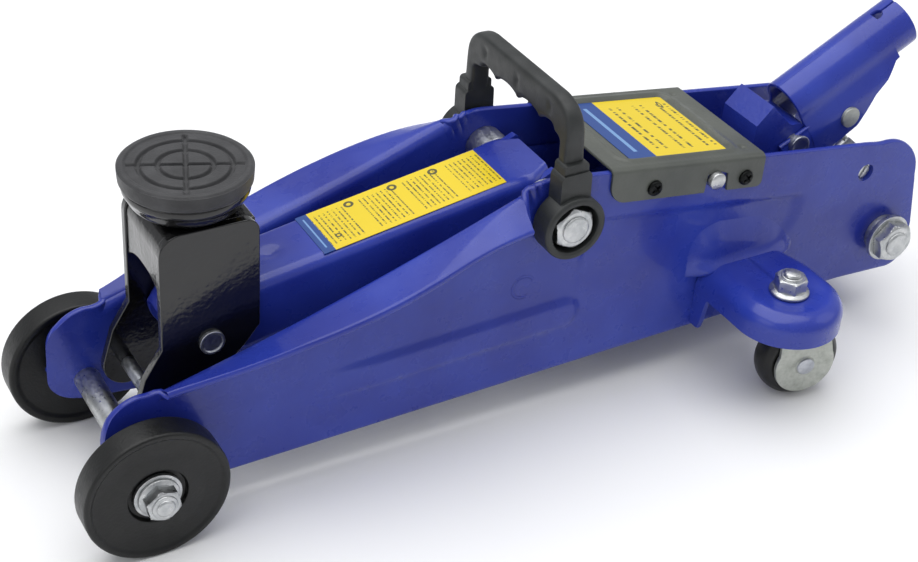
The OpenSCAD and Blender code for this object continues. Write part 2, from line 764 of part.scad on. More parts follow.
module socket_push_pin() color(zinc) on_frame() {
    bar(push_pin, push_pin_r, -socket_cheek_out - 1.6, socket_cheek_out + 1.6);
}

// Casters -------------------------------------------------------------------------------------------

// One stamped bracket: a flange on the side plate, a shelf with a round end, and a lip round the shelf
module caster_bracket() {
    shelf_x = [stud[0] - shelf_r, stud[0] + shelf_r];
    flange_t = 2.5;
    difference() {
        union() {
            slab(out_y, out_y + flange_t) {
                polygon([
                    [shelf_x[0], 25], [shelf_x[0], 66], [shelf_x[0] + 8, 73], [shelf_x[1] - 18, 72],
                    [shelf_x[1], 55], [shelf_x[1], 42], [shelf_x[0] + 12, 25]
                ]);
            }
            translate([0, 0, shelf_top - shelf_t]) linear_extrude(shelf_t) shelf_plan(0);
            intersection() {
                translate([0, 0, 20]) linear_extrude(shelf_top - 20) difference() {
                    shelf_plan(0);
                    shelf_plan(shelf_t);
                }
                rotate([90, 0, 90]) linear_extrude(1000) polygon([
                    [out_y, 27], [out_y + 12, 30], [stud[1] - 8, lip_z], [stud[1] + shelf_r + 1, lip_z],
                    [stud[1] + shelf_r + 1, shelf_top], [out_y, shelf_top]
                ]);
            }
        }
        translate([stud[0], stud[1], shelf_top - 5]) cylinder(r = stud_r + run_gap, h = 10);
    }
}

// The shelf in plan, less d round its edge
module shelf_plan(d) {
    translate([stud[0], stud[1]]) circle(shelf_r - d);
    translate([stud[0] - shelf_r + d, out_y]) square([2 * (shelf_r - d), stud[1] - out_y]);
}

module caster_bracket_left() color(blue) on_frame() mirror([0, 1, 0]) caster_bracket();
module caster_bracket_right() color(blue) on_frame() caster_bracket();

// Moves to the stud on the floor, turned with the caster
module at_stud() translate([stud[0], stud[1], 0]) rotate([0, 0, caster_yaw]) children();

module caster_fork() at_stud() difference() {
    top = fork_top - fork_t;
    union() {
        translate([0, 0, top]) linear_extrude(fork_t) {
            circle(11);
            translate([0, -fork_in - fork_t]) square([caster_trail + 6, 2 * (fork_in + fork_t)]);
        }
        twin_slab(fork_in, fork_in + fork_t) {
            disc_at([caster_trail, caster_r], 14.5);
            polygon([
                [-5, top + fork_t], [caster_trail + 6, top + fork_t], [caster_trail + 14, caster_r + 4],
                [caster_trail - 14, caster_r + 4]
            ]);
        }
    }
    translate([0, 0, top - 1]) cylinder(r = stud_r, h = 10);
    bar([caster_trail, caster_r], 3, -20, 20);
}

module caster_stud() at_stud() {
    translate([0, 0, fork_top - fork_t]) cylinder(r = stud_r, h = shelf_top + 11 - fork_top + fork_t);
    translate([0, 0, fork_top]) difference() {
        cylinder(r = 9, h = 1.4);
        translate([0, 0, -1]) cylinder(r = stud_r - 0.5, h = 4);
    }
}

module caster_nut() at_stud() translate([0, 0, shelf_top + 0.3]) difference() {
    union() {
        cylinder(r = 9, h = 1.6);
        translate([0, 0, 1.6]) cylinder(r = 13 / sqrt(3), h = 6.4, $fn = 6);
    }
    translate([0, 0, -1]) cylinder(r = stud_r, h = 12);
}

module caster_axle() at_stud() {
    end_y = fork_in + fork_t;
    bar([caster_trail, caster_r], 3, -end_y, end_y);
    both_sides() bar([caster_trail, caster_r], 4.2, end_y, end_y + 1.5);
}

module caster_wheel() at_stud() translate([caster_trail, 0, caster_r]) rotate([-90, 0, 0]) rotate_extrude() polygon([
    [3 + run_gap, -caster_w / 2], [caster_r - 6, -caster_w / 2], [caster_r - 2.4, -caster_w / 2 + 0.6],
    [caster_r - 0.5, -caster_w / 2 + 3], [caster_r, -caster_w / 2 + 5.4], [caster_r, caster_w / 2 - 5.4],
    [caster_r - 0.5, caster_w / 2 - 3], [caster_r - 2.4, caster_w / 2 - 0.6], [caster_r - 6, caster_w / 2],
    [3 + run_gap, caster_w / 2]
]);

module caster_fork_left() color(fork_grey) on_frame() mirror([0, 1, 0]) caster_fork();
module caster_fork_right() color(fork_grey) on_frame() caster_fork();
module caster_stud_left() color(zinc) on_frame() mirror([0, 1, 0]) caster_stud();
module caster_stud_right() color(zinc) on_frame() caster_stud();
module caster_nut_left() color(zinc) on_frame() mirror([0, 1, 0]) caster_nut();
module caster_nut_right() color(zinc) on_frame() caster_nut();
module caster_axle_left() color(zinc) on_frame() mirror([0, 1, 0]) caster_axle();
module caster_axle_right() color(zinc) on_frame() caster_axle();
module caster_wheel_left() color(black) on_frame() mirror([0, 1, 0]) caster_wheel();
module caster_wheel_right() color(black) on_frame() caster_wheel();

// Carry handle --------------------------------------------------------------------------------------

// The handle's outline across the frame, counted from the pivot: two legs and a grip with finger hollows
module handle_outline() {
    foot = 10;
    under = handle_h - grip_h;
    hollow_w = 17.4;
    hollow_h = 2.5;
    hollow_r = (pow(hollow_w / 2, 2) + pow(hollow_h, 2)) / 2 / hollow_h;
    half = [
        [hollow_w, under], [hollow_w * 1.45, under + hollow_h], [ring_in - 4, under + 0.5],
        [ring_in, handle_h - 24], [ring_in, foot], [leg_out, foot], [leg_out - 0.5, handle_h - 20],
        [leg_out - 4, handle_h - 7], [leg_out - 12, handle_h]
    ];
    difference() {
        polygon(concat(half, [for (k = [len(half) - 1:-1:0]) [-half[k][0], half[k][1]]]));
        for (side = [-1, 1]) disc_at([side * hollow_w / 2, under + hollow_h - hollow_r], hollow_r);
    }
}

module carry_handle() color(plastic) on_frame() translate([pivot_x, 0, pivot_z]) rotate([0, -handle_lean, 0]) {
    shoulder_low = 8;
    shoulder_h = 16;
    difference() {
        union() {
            translate([-leg_w / 2, 0, 0]) rotate([90, 0, 90]) linear_extrude(leg_w) handle_outline();
            both_sides() {
                bar([0, 0], ring_r, ring_in, ring_out);
                translate([-shoulder_w / 2, ring_in, shoulder_low])
                    cube([shoulder_w, leg_out - ring_in, shoulder_h]);
            }
        }
        bar([0, 0], shaft_r + run_gap, -60, 60);
        both_sides() bar([0, 0], ring_pocket_r, ring_in + ring_web, 60);
    }
}

side_plate_left();
side_plate_right();
front_axle();
front_axle_washers();
front_axle_nuts();
front_wheel_left();
front_wheel_right();
rear_tie_bolt();
rear_bolt_washers();
rear_bolt_nuts();
cover_tie_bolt();
arm_pivot_shaft();
arm_pivot_nuts();
pivot_spacers();
radius_rod_pins();
spring_anchor();
return_springs();
cover_plate();
cover_screws();
cover_label();
pump_block();
tank_tube();
cylinder_tube();
cylinder_gland();
filler_plug();
safety_valve_plug();
pump_gland_nut();
plunger_spring();
pump_plunger();
plunger_cap();
release_valve();
ram_rod();
ram_head();
caster_bracket_left();
caster_bracket_right();
caster_fork_left();
caster_fork_right();
caster_stud_left();
caster_stud_right();
caster_nut_left();
caster_nut_right();
caster_axle_left();
caster_axle_right();
caster_wheel_left();
caster_wheel_right();
lift_arm();
crank_pin();
arm_label();
saddle_bracket();
arm_front_pin();
link_pin();
radius_rod_left();
radius_rod_right();
saddle_cup();
saddle_pad();
handle_socket();
socket_pivot_pin();
socket_push_pin();
carry_handle();
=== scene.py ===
"""The looks of a small hydraulic trolley jack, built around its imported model.

Shapes are worked out in millimetres: x rearwards from the front axle, y across, z up from the floor.
place() turns them into the row frame's metres.
"""

import json
import math

import bmesh
import bpy
import numpy as np
from mathutils import Matrix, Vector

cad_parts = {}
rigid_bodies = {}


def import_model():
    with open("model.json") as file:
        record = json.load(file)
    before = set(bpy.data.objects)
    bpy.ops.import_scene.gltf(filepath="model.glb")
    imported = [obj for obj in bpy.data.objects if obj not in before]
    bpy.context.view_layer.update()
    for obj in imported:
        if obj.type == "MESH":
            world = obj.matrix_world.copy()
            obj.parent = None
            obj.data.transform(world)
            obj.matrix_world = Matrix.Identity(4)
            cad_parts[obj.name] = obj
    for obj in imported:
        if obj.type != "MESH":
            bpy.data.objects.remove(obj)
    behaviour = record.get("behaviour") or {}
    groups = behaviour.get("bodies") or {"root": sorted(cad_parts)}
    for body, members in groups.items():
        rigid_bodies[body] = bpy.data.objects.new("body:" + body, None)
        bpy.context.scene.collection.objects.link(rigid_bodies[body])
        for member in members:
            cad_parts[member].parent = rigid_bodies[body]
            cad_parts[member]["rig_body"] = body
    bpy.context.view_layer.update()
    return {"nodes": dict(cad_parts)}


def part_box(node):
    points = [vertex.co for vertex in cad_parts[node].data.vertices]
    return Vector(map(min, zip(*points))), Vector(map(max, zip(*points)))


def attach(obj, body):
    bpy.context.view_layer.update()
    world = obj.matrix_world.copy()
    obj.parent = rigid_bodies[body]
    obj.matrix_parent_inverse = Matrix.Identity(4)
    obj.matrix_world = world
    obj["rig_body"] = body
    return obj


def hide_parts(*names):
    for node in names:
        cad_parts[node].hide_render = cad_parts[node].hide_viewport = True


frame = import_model()
AXLE_LOW, AXLE_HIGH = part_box("front_axle")
AXLE_X = (AXLE_LOW[0] + AXLE_HIGH[0]) / 2
TAU = 2 * math.pi
ACROSS, UP = (0, 1, 0), (0, 0, 1)


def place(points):
    """Millimetres from the front axle and the floor, as metres in the row frame."""
    return np.asarray(points, float) / 1000 + np.array([AXLE_X, 0, 0])


# Camera ----------------------------------------------------

CAMERA_AZIMUTH, CAMERA_ELEVATION, CAMERA_ROLL = np.radians([-31.68, 34.0, 4.45])
CAMERA_DISTANCE = 763.9
CAMERA_TARGET = (159.9, 0, 54.4)
LENS = 68.33


def make_camera():
    """Looks at the target from the given azimuth and elevation, then rolls about its own line of sight."""
    a, e, r = CAMERA_AZIMUTH, CAMERA_ELEVATION, CAMERA_ROLL
    back = np.array([math.sin(a) * math.cos(e), -math.cos(a) * math.cos(e), math.sin(e)])
    right = np.array([math.cos(a), math.sin(a), 0])
    up = np.cross(back, right)
    axes = [math.cos(r) * right + math.sin(r) * up, math.cos(r) * up - math.sin(r) * right, back]
    data = bpy.data.cameras.new("camera")
    data.lens, data.sensor_width = LENS, 36
    camera = bpy.data.objects.new("camera", data)
    matrix = np.eye(4)
    matrix[:3, :3] = np.array(axes).T
    matrix[:3, 3] = place(CAMERA_TARGET) + back * CAMERA_DISTANCE / 1000
    camera.matrix_world = Matrix(matrix.tolist())
    bpy.context.scene.collection.objects.link(camera)
    bpy.context.scene.camera = camera


make_camera()

# Mesh helpers ----------------------------------------------


def quads(n, m, closed=False):
    """Corner numbers of the cells of an n by m grid; closed joins the last column to the first."""
    i, j = np.meshgrid(np.arange(n - 1), np.arange(m if closed else m - 1), indexing="ij")
    k = (j + 1) % m
    return np.stack([i * m + j, (i + 1) * m + j, (i + 1) * m + k, i * m + k], -1).reshape(-1, 4)


def unit(v):
    """Vectors scaled to length one."""
    return v / np.maximum(np.linalg.norm(v, axis=-1, keepdims=True), 1e-9)


def grid(points, closed=False, caps=False):
    """A surface through a grid of points; caps closes the first and last row of a closed one."""
    n, m = points.shape[:2]
    faces = quads(n, m, closed).tolist()
    if caps:
        faces += [list(range(m)), list(range((n - 1) * m, n * m))]
    return points.reshape(-1, 3), faces


def sheet(points, thick, rim=0.0, closed=False, holes=()):
    """Metal as thick as thick: the grid is one face, the other lies along the grid's normal, and half-round
    rows that stand out by rim close the edges. holes are (x, z, radius) through a sheet that faces Y."""
    outer = points.copy()
    n, m = outer.shape[:2]
    around = np.concatenate([outer[:, -1:], outer, outer[:, :1]], 1) if closed else outer
    dv = np.gradient(around, axis=1)[:, 1:-1] if closed else np.gradient(outer, axis=1)
    normal = unit(np.cross(np.gradient(outer, axis=0), dv))
    cells = quads(n, m, closed)
    gone = np.zeros(len(cells), bool)
    for x, z, r in holes:
        away = outer[..., [0, 2]] - [x, z]
        inside = np.linalg.norm(away.reshape(-1, 2)[cells].mean(1), axis=1) < r
        gone |= inside
        edge = np.intersect1d(cells[inside], cells[~inside])
        flat = outer.reshape(-1, 3)
        flat[edge[:, None], [0, 2]] = [x, z] + r * unit(away.reshape(-1, 2)[edge])
    inner = outer + thick * normal
    count = n * m
    faces = cells[~gone].tolist() + (cells[~gone][:, ::-1] + count).tolist()
    if holes:
        sides = {}
        for cell in cells[gone].tolist():
            for a, b in zip(cell, cell[1:] + cell[:1]):
                sides[(min(a, b), max(a, b))] = sides.get((min(a, b), max(a, b)), 0) + 1
        faces += [[a, b, b + count, a + count] for (a, b), c in sides.items() if c == 1]
    if closed:
        loops = [[(0, j) for j in range(m)], [(n - 1, j) for j in range(m)]]
    else:
        loops = [
            [(i, 0) for i in range(n)]
            + [(n - 1, j) for j in range(1, m)]
            + [(i, m - 1) for i in range(n - 2, -1, -1)]
            + [(0, j) for j in range(m - 2, 0, -1)]
        ]
    rows = [outer.reshape(-1, 3), inner.reshape(-1, 3)]
    base = 2 * count
    for loop in loops:
        at = np.array(loop)
        i, j = at[:, 0], at[:, 1]
        away = outer[i, j] - outer[np.clip(i, 1, n - 2), j if closed else np.clip(j, 1, m - 2)]
        away = unit(away - (away * normal[i, j]).sum(1, keepdims=True) * normal[i, j])
        middle, half = (outer[i, j] + inner[i, j]) / 2, (outer[i, j] - inner[i, j]) / 2
        turns = np.radians([45, 90, 135]) if rim else []
        rings = [i * m + j]
        for turn in turns:
            rows.append(middle + half * math.cos(turn) + away * rim * math.sin(turn))
            rings.append(base + np.arange(len(loop)))
            base += len(loop)
        rings.append(i * m + j + count)
        for a, b in zip(rings, rings[1:]):
            faces += np.stack([a, np.roll(a, -1), np.roll(b, -1), b], -1).tolist()
    return np.concatenate(rows), faces


def axis_frame(axis):
    """Two directions square to axis, and axis itself, each of length one."""
    axis = unit(np.array(axis, float))
    side = unit(np.cross([0, 0, 1.0] if abs(axis[2]) < 0.9 else [1.0, 0, 0], axis))
    return side, np.cross(axis, side), axis


def revolved(at, axis, r, h, n):
    """Rings of n points round an axis through at. r is each row's radius, or one for each point, and h is the
    row's height along the axis."""
    side, up, along = axis_frame(axis)
    t = np.arange(n) / n * TAU
    ring = np.cos(t)[:, None] * side + np.sin(t)[:, None] * up
    return grid(np.array(at) + r[..., None] * ring + h[:, None, None] * along, closed=True)


def turned(profile, at=(0, 0, 0), axis=ACROSS, n=72):
    """A profile of (radius, height) pairs turned once round an axis through at."""
    r, h = np.array(profile, float).T
    return revolved(at, axis, r[:, None], h, n)


def smooth_profile(corners, radius=0.6, steps=4):
    """The corners of a profile, each one rounded by a curve that starts and ends radius away from it."""
    corners = np.array(corners, float)
    out = [corners[:1]]
    for before, at, after in zip(corners, corners[1:], corners[2:]):
        reach = min(radius, np.linalg.norm(at - before) / 2.1, np.linalg.norm(after - at) / 2.1)
        a, b = at + unit(before - at) * reach, at + unit(after - at) * reach
        t = np.linspace(0, 1, steps + 1)[:, None]
        out.append((1 - t) ** 2 * a + 2 * t * (1 - t) * at + t**2 * b)
    return np.concatenate(out + [corners[-1:]])


def lathe(corners, radius, at=(0, 0, 0), axis=ACROSS, n=72, steps=4):
    """A turned part whose profile's corners are rounded by radius."""
    return turned(smooth_profile(corners, radius, steps), at, axis, n)


def hexagon(at, axis, flats, height, turn, n=96):
    """A nut or bolt head: its radius is the smaller of a hexagon's and of a cone that cuts the corners."""
    t = np.arange(n) / n * TAU
    hexa = flats / 2 / np.cos((t + turn + math.pi / 6) % (math.pi / 3) - math.pi / 6)
    below = np.array([1.6, 1.1, 0.7, 0.35, 0, 0])
    h = np.concatenate([[0, 0, 0.3, height * 0.5], height - below])
    r = np.minimum(hexa, (flats / 2 * 0.95 + (height - h) * 1.75)[:, None])
    r[1] = r[2] - 0.3
    r[0] = r[-1] = 0
    return revolved(at, axis, r, h, n)


def threaded(at, axis, r, start, end, pitch=1.25, n=40):
    """A bolt's threaded end: the radius dips once a pitch along a helix, and the end is a low cone."""
    t = np.arange(n) / n * TAU
    h = np.arange(start, end, pitch / 6)
    wave = ((h[:, None] / pitch - t / TAU) % 1) * 2 - 1
    radius = r - 0.31 * pitch * (1 - np.abs(wave)) * np.clip((end - h[:, None]) * 3, 0, 1)
    radius = np.minimum(radius, r - 0.9 + (end - h[:, None]) * 1.2)
    radius = np.vstack([np.zeros(n), radius, np.full(n, r - 1.1), np.zeros(n)])
    return revolved(at, axis, radius, np.concatenate([[start], h, [end, end]]), n)


def swept(path, r, n=10):
    """A round wire along a path: the frame at each point is carried on from the one before."""
    path = np.array(path, float)
    along = unit(np.gradient(path, axis=0))
    side = np.zeros_like(path)
    side[0] = axis_frame(along[0])[0]
    for i in range(1, len(path)):
        side[i] = unit(side[i - 1] - np.dot(side[i - 1], along[i]) * along[i])
    up = np.cross(along, side)
    t = np.arange(n) / n * TAU
    ring = np.cos(t)[None, :, None] * side[:, None] + np.sin(t)[None, :, None] * up[:, None]
    return grid(path[:, None] + r * ring, closed=True, caps=True)


def slab(outline, y0, y1):
    """An outline in X and Z, as thick as from y0 to y1."""
    outline = np.array(outline, float)
    rows = [np.stack([outline[:, 0], np.full(len(outline), y), outline[:, 1]], -1) for y in (y0, y1)]
    return grid(np.array(rows), closed=True, caps=True)


def arc(centre, r, start, end, n=12):
    """Points on an arc in X and Z, from one angle to another in degrees."""
    t = np.radians(np.linspace(start, end, n))
    return np.stack([centre[0] + r * np.cos(t), centre[1] + r * np.sin(t)], -1)


def polar(r, n):
    """A grid of rings: each point's radius and angle, and its two coordinates."""
    rr, tt = np.meshgrid(r, np.arange(n) / n * TAU, indexing="ij")
    return rr, tt, rr * np.cos(tt), rr * np.sin(tt)


def mirrored(part):
    """The same part across the frame's middle plane."""
    return part[0] * [1, -1, 1], part[1]


def both(*parts):
    """Each part and its mirror image."""
    return [p for part in parts for p in (part, mirrored(part))]


def on_side(side, parts):
    """Parts built for the +Y side, mirrored when side is -1."""
    return parts if side > 0 else [mirrored(p) for p in parts]


def ease(t):
    """0 below 0, 1 above 1, and a smooth step between."""
    t = np.clip(t, 0, 1)
    return t * t * (3 - 2 * t)


def soft_min(a, b, k):
    """The smaller of two values, with the corner between them rounded over about k."""
    h = np.clip(0.5 + 0.5 * (b - a) / k, 0, 1)
    return b * (1 - h) + a * h - k * h * (1 - h)


def piece(name, parts, body, material, replaces=(), bevel=0.0, sharp=32, segments=2):
    """One mesh object from parts, riding on a body and standing for CAD nodes."""
    count, points, faces = 0, [], []
    for p, f in parts:
        points.append(p)
        faces += [[c + count for c in face] for face in f]
        count += len(p)
    mesh = bpy.data.meshes.new(name)
    mesh.from_pydata(place(np.concatenate(points)).tolist(), [], faces)
    bm = bmesh.new()
    bm.from_mesh(mesh)
    bmesh.ops.remove_doubles(bm, verts=bm.verts, dist=2e-6)
    bmesh.ops.dissolve_degenerate(bm, edges=bm.edges, dist=1e-6)
    bmesh.ops.recalc_face_normals(bm, faces=bm.faces)
    bm.to_mesh(mesh)
    bm.free()
    return finish(name, mesh, body, material, replaces, bevel, sharp, segments)


def finish(name, mesh, body, material, replaces, bevel, sharp, segments):
    """Shades a mesh smooth between its sharp edges, rounds those by bevel, and puts it on its body."""
    mesh.polygons.foreach_set("use_smooth", np.ones(len(mesh.polygons), bool))
    obj = bpy.data.objects.new(name, mesh)
    bpy.context.scene.collection.objects.link(obj)
    mesh.materials.append(material)
    if bevel:
        cut = obj.modifiers.new("edges", "BEVEL")
        cut.width, cut.segments = bevel / 1000, segments
        cut.limit_method, cut.angle_limit = "ANGLE", math.radians(sharp)
        weigh = obj.modifiers.new("normals", "WEIGHTED_NORMAL")
        weigh.keep_sharp = False
    else:
        mesh.set_sharp_from_angle(angle=math.radians(sharp))
    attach(obj, body)
    if replaces:
        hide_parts(*replaces)
    return obj


def from_cad(name, node, material, bevel):
    """A merged copy of a CAD node, its flat faces whole again and its edges rounded."""
    cad = frame["nodes"][node]
    bm = bmesh.new()
    bm.from_mesh(cad.data)
    bmesh.ops.remove_doubles(bm, verts=bm.verts, dist=2e-6)
    bmesh.ops.dissolve_limit(
        bm, angle_limit=math.radians(1.0), verts=bm.verts, edges=bm.edges, use_dissolve_boundaries=False
    )
    mesh = bpy.data.meshes.new(name)
    bm.to_mesh(mesh)
    bm.free()
    return finish(name, mesh, cad["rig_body"], material, [node], bevel, 30, 2)


# Materials -------------------------------------------------


def linear(colour):
    """An sRGB hex colour as linear red, green, blue and alpha."""
    c = np.array([int(colour[i : i + 2], 16) / 255 for i in (1, 3, 5)])
    c = np.where(c <= 0.04045, c / 12.92, ((c + 0.055) / 1.055) ** 2.4)
    return (*c.tolist(), 1.0)


def add(tree, kind, settings=None, **links):
    """A node of a kind, with its settings, and inputs that are values or other nodes' outputs."""
    made = tree.nodes.new("ShaderNode" + kind)
    for key, value in (settings or {}).items():
        setattr(made, key, value)
    for key, value in links.items():
        numbered = key[0] == "i" and key[1:].isdigit()
        socket = made.inputs[int(key[1:]) if numbered else key.replace("_", " ")]
        if isinstance(value, bpy.types.NodeSocket):
            tree.links.new(value, socket)
        else:
            socket.default_value = value
    return made


def new_material(name, settings):
    """A material with one Principled shader, set by settings. Returns it, its tree and its shader."""
    material = bpy.data.materials.new(name)
    material.use_nodes = True
    tree = material.node_tree
    tree.nodes.clear()
    shader = add(tree, "BsdfPrincipled")
    for key, value in settings.items():
        shader.inputs[key].default_value = value
    out = add(tree, "OutputMaterial")
    tree.links.new(shader.outputs[0], out.inputs[0])
    return material, tree, shader


def noise(tree, size_mm, detail=2.0, rough=0.5):
    """Noise whose lumps are about size_mm across, on the piece's Object coordinates."""
    coords = add(tree, "TexCoord").outputs["Object"]
    made = add(tree, "TexNoise", i0=coords, Scale=1000.0 / size_mm, Detail=detail, Roughness=rough)
    return made.outputs["Fac"]


def ramp(tree, fac, stops, low=0.0, high=1.0):
    """Colours spread from low to high of a value."""
    made = add(tree, "ValToRGB", Fac=fac)
    elements = made.color_ramp.elements
    while len(elements) < len(stops):
        elements.new(0.5)
    for k, colour in enumerate(stops):
        elements[k].position = low + (high - low) * k / (len(stops) - 1)
        elements[k].color = linear(colour)
    return made.outputs[0]


def spread(tree, fac, low, high, to_low, to_high):
    """A value from low to high moved to the range from to_low to to_high."""
    return add(tree, "MapRange", i0=fac, i1=low, i2=high, i3=to_low, i4=to_high).outputs[0]


def bump(tree, shader, height, depth_mm, strength=1.0, normal=None):
    """Adds a height in millimetres to a shader's normal, and returns the normal."""
    made = add(tree, "Bump", Strength=strength, Distance=depth_mm / 1000, Height=height)
    if normal is not None:
        tree.links.new(normal, made.inputs["Normal"])
    tree.links.new(made.outputs[0], shader.inputs["Normal"])
    return made.outputs[0]


def calculator(tree):
    """A short way to do sums in a tree: calc(kind, a, b) gives the result's socket."""
    return lambda kind, a, b=0.0: add(tree, "Math", {"operation": kind}, i0=a, i1=b).outputs[0]


def distance(calc, a, b):
    """The length of a vector with two parts."""
    return calc("SQRT", calc("ADD", calc("MULTIPLY", a, a), calc("MULTIPLY", b, b)))


def enamel(name, colours, roughness, coat, lump_mm=0.05, orange_mm=0.012):
    """Stoving enamel sprayed on pressed steel: a glossy coat with orange peel 2 mm across, and the steel's
    own slow waves under it. Its colour drifts a little with the film's thickness."""
    m, tree, shader = new_material(
        name, {"Roughness": roughness, "Coat Weight": coat, "Coat Roughness": 0.05, "Specular IOR Level": 0.35}
    )
    tree.links.new(ramp(tree, noise(tree, 45, 3), colours, 0.35, 0.65), shader.inputs["Base Color"])
    rough = spread(tree, noise(tree, 9, 4), 0.35, 0.7, roughness * 0.8, roughness * 1.3)
    tree.links.new(rough, shader.inputs["Roughness"])
    slow = bump(tree, shader, noise(tree, 26, 2), lump_mm * 10, 0.5)
    bump(tree, shader, noise(tree, 2.0, 1), orange_mm * 10, 0.6, slow)
    return m


def weld_marked(name):
    """The blue enamel with the faint open ring that a spot weld leaves in the wall below the pivot."""
    m = enamel(name, BLUES, 0.3, 0.22)
    tree, shader = m.node_tree, m.node_tree.nodes["Principled BSDF"]
    calc = calculator(tree)
    split = add(tree, "SeparateXYZ", i0=add(tree, "TexCoord").outputs["Object"])
    centre = place(WELD_MARK)
    dx, dz = calc("SUBTRACT", split.outputs[0], centre[0]), calc("SUBTRACT", split.outputs[2], centre[2])
    off_ring = calc("ABSOLUTE", calc("SUBTRACT", distance(calc, dx, dz), 0.0053))
    ring = spread(tree, off_ring, 0.0003, 0.0009, 0.0, 1.0)
    open_side = calc("GREATER_THAN", calc("SUBTRACT", dx, calc("MULTIPLY", dz, 0.35)), 0.0036)
    skin = shader.inputs["Normal"].links[0].from_socket
    bump(tree, shader, calc("MAXIMUM", ring, open_side), 0.5, 0.7, skin)
    return m


def bare_metal(name, colours, roughness, grain_mm=0.5, dent=0.02):
    """Bright zinc plating on turned or stamped steel: grey metal, clouded by handling, with a fine grain."""
    m, tree, shader = new_material(name, {"Metallic": 1.0, "Roughness": roughness})
    tree.links.new(ramp(tree, noise(tree, 5, 4, 0.6), colours, 0.3, 0.7), shader.inputs["Base Color"])
    rough = spread(tree, noise(tree, 1.6, 3), 0.3, 0.7, roughness * 0.75, roughness * 1.35)
    tree.links.new(rough, shader.inputs["Roughness"])
    bump(tree, shader, noise(tree, grain_mm, 3), dent * 10, 0.35)
    return m


def moulded(name, colours, roughness, grain_mm, depth=0.02, coat=0.0, sheen=0.0):
    """Moulded plastic or rubber: an even colour, and the mould's spark-eroded grain."""
    m, tree, shader = new_material(
        name, {"Roughness": roughness, "Coat Weight": coat, "Sheen Weight": sheen, "Specular IOR Level": 0.38}
    )
    tree.links.new(ramp(tree, noise(tree, 12, 4), colours, 0.35, 0.65), shader.inputs["Base Color"])
    rough = spread(tree, noise(tree, 4, 3), 0.3, 0.7, roughness * 0.85, roughness * 1.15)
    tree.links.new(rough, shader.inputs["Roughness"])
    bump(tree, shader, noise(tree, grain_mm, 2), depth * 10, 0.5)
    return m


def label_film(name, rows, band, marks):
    """Printed vinyl film on the piece's own UV map: u runs along the label. A blue band, then yellow with
    short grey rules in rows, and a few plain round marks, which say nothing."""
    m, tree, shader = new_material(name, {"Roughness": 0.32, "Coat Weight": 0.3, "Coat Roughness": 0.2})
    calc = calculator(tree)
    split = add(tree, "SeparateXYZ", i0=add(tree, "UVMap").outputs[0])
    u, v = split.outputs[0], split.outputs[1]

    def inside(value, low, high):
        return calc("MULTIPLY", calc("GREATER_THAN", value, low), calc("LESS_THAN", value, high))

    def mixed(fac, first, second):
        return add(tree, "MixRGB", Fac=fac, Color1=first, Color2=second).outputs[0]

    row_number = calc("FLOOR", calc("MULTIPLY", u, rows))
    along = add(tree, "CombineXYZ", i0=calc("MULTIPLY", row_number, 7.3), i1=calc("MULTIPLY", v, 46.0))
    words = add(tree, "TexNoise", {"noise_dimensions": "2D"}, Scale=1.0, Detail=1.0, Roughness=0.7)
    tree.links.new(along.outputs[0], words.inputs["Vector"])
    row = inside(calc("FRACT", calc("MULTIPLY", u, rows)), 0.3, 0.62)
    line = calc("MULTIPLY", row, calc("GREATER_THAN", words.outputs["Fac"], 0.47))
    gaps = calc("GREATER_THAN", calc("FRACT", calc("MULTIPLY", u, 3.98)), 0.24)
    ink = calc("MULTIPLY", calc("MULTIPLY", line, inside(v, 0.1, 0.88)), gaps)
    for mark_u, mark_v, size in marks:
        du = calc("MULTIPLY", calc("SUBTRACT", u, mark_u), 2.9)
        away = distance(calc, du, calc("SUBTRACT", v, mark_v))
        ink = calc("MAXIMUM", ink, inside(away, size * 0.45, size))
    body = calc("GREATER_THAN", u, band)
    paper = mixed(calc("MULTIPLY", ink, body), linear("#e0c40a"), linear("#4e4a20"))
    rule = calc("MULTIPLY", inside(u, band * 0.42, band * 0.56), inside(v, 0.12, 0.9))
    colour = mixed(body, mixed(rule, linear("#073d86"), linear("#6f97c8")), paper)
    tree.links.new(colour, shader.inputs["Base Color"])
    bump(tree, shader, noise(tree, 7, 2), 0.15, 0.4)
    return m


BLUES = ["#212e8c", "#263697", "#2b3da0"]
WELD_MARK = (171.3, 0, 69)
# Deep blue stoving enamel, glossy, with broad soft highlights on the bends
BLUE = enamel("blue_stoving_enamel", BLUES, 0.3, 0.25)
BLUE_PLATE = weld_marked("blue_enamel_on_plate")
# The same enamel on cast iron: rougher skin, broken highlights
BLUE_CAST = enamel("blue_enamel_on_casting", BLUES, 0.32, 0.4, 0.09, 0.02)
# Thick dipped black enamel: wet-looking, uneven, with small bright glints
BLACK = enamel("black_gloss_enamel", ["#060607", "#0a0a0b", "#0e0e0f"], 0.2, 0.5, 0.16, 0.03)
# Olive-grey satin paint on sheet: flat and even
GREY = enamel("grey_satin_enamel", ["#484b47", "#50534e", "#575a54"], 0.42, 0.15, 0.02, 0.02)
# Clear zinc plating on turned steel: bright, cloudy at the corners
ZINC = bare_metal("bright_zinc_plate", ["#a4a7a9", "#b8babb", "#cacbcb"], 0.34)
# Zinc over a coarser surface: greyer, softer highlights
ZINC_DULL = bare_metal("dull_zinc_plate", ["#989ba1", "#abaeb4", "#bec0c4"], 0.38, 0.8)
# Zinc on stamped sheet: matt and slightly green
PRESSED_ZINC = bare_metal("pressed_zinc_sheet", ["#a5a8a1", "#b0b3ac", "#babcb6"], 0.5, 1.4, 0.01)
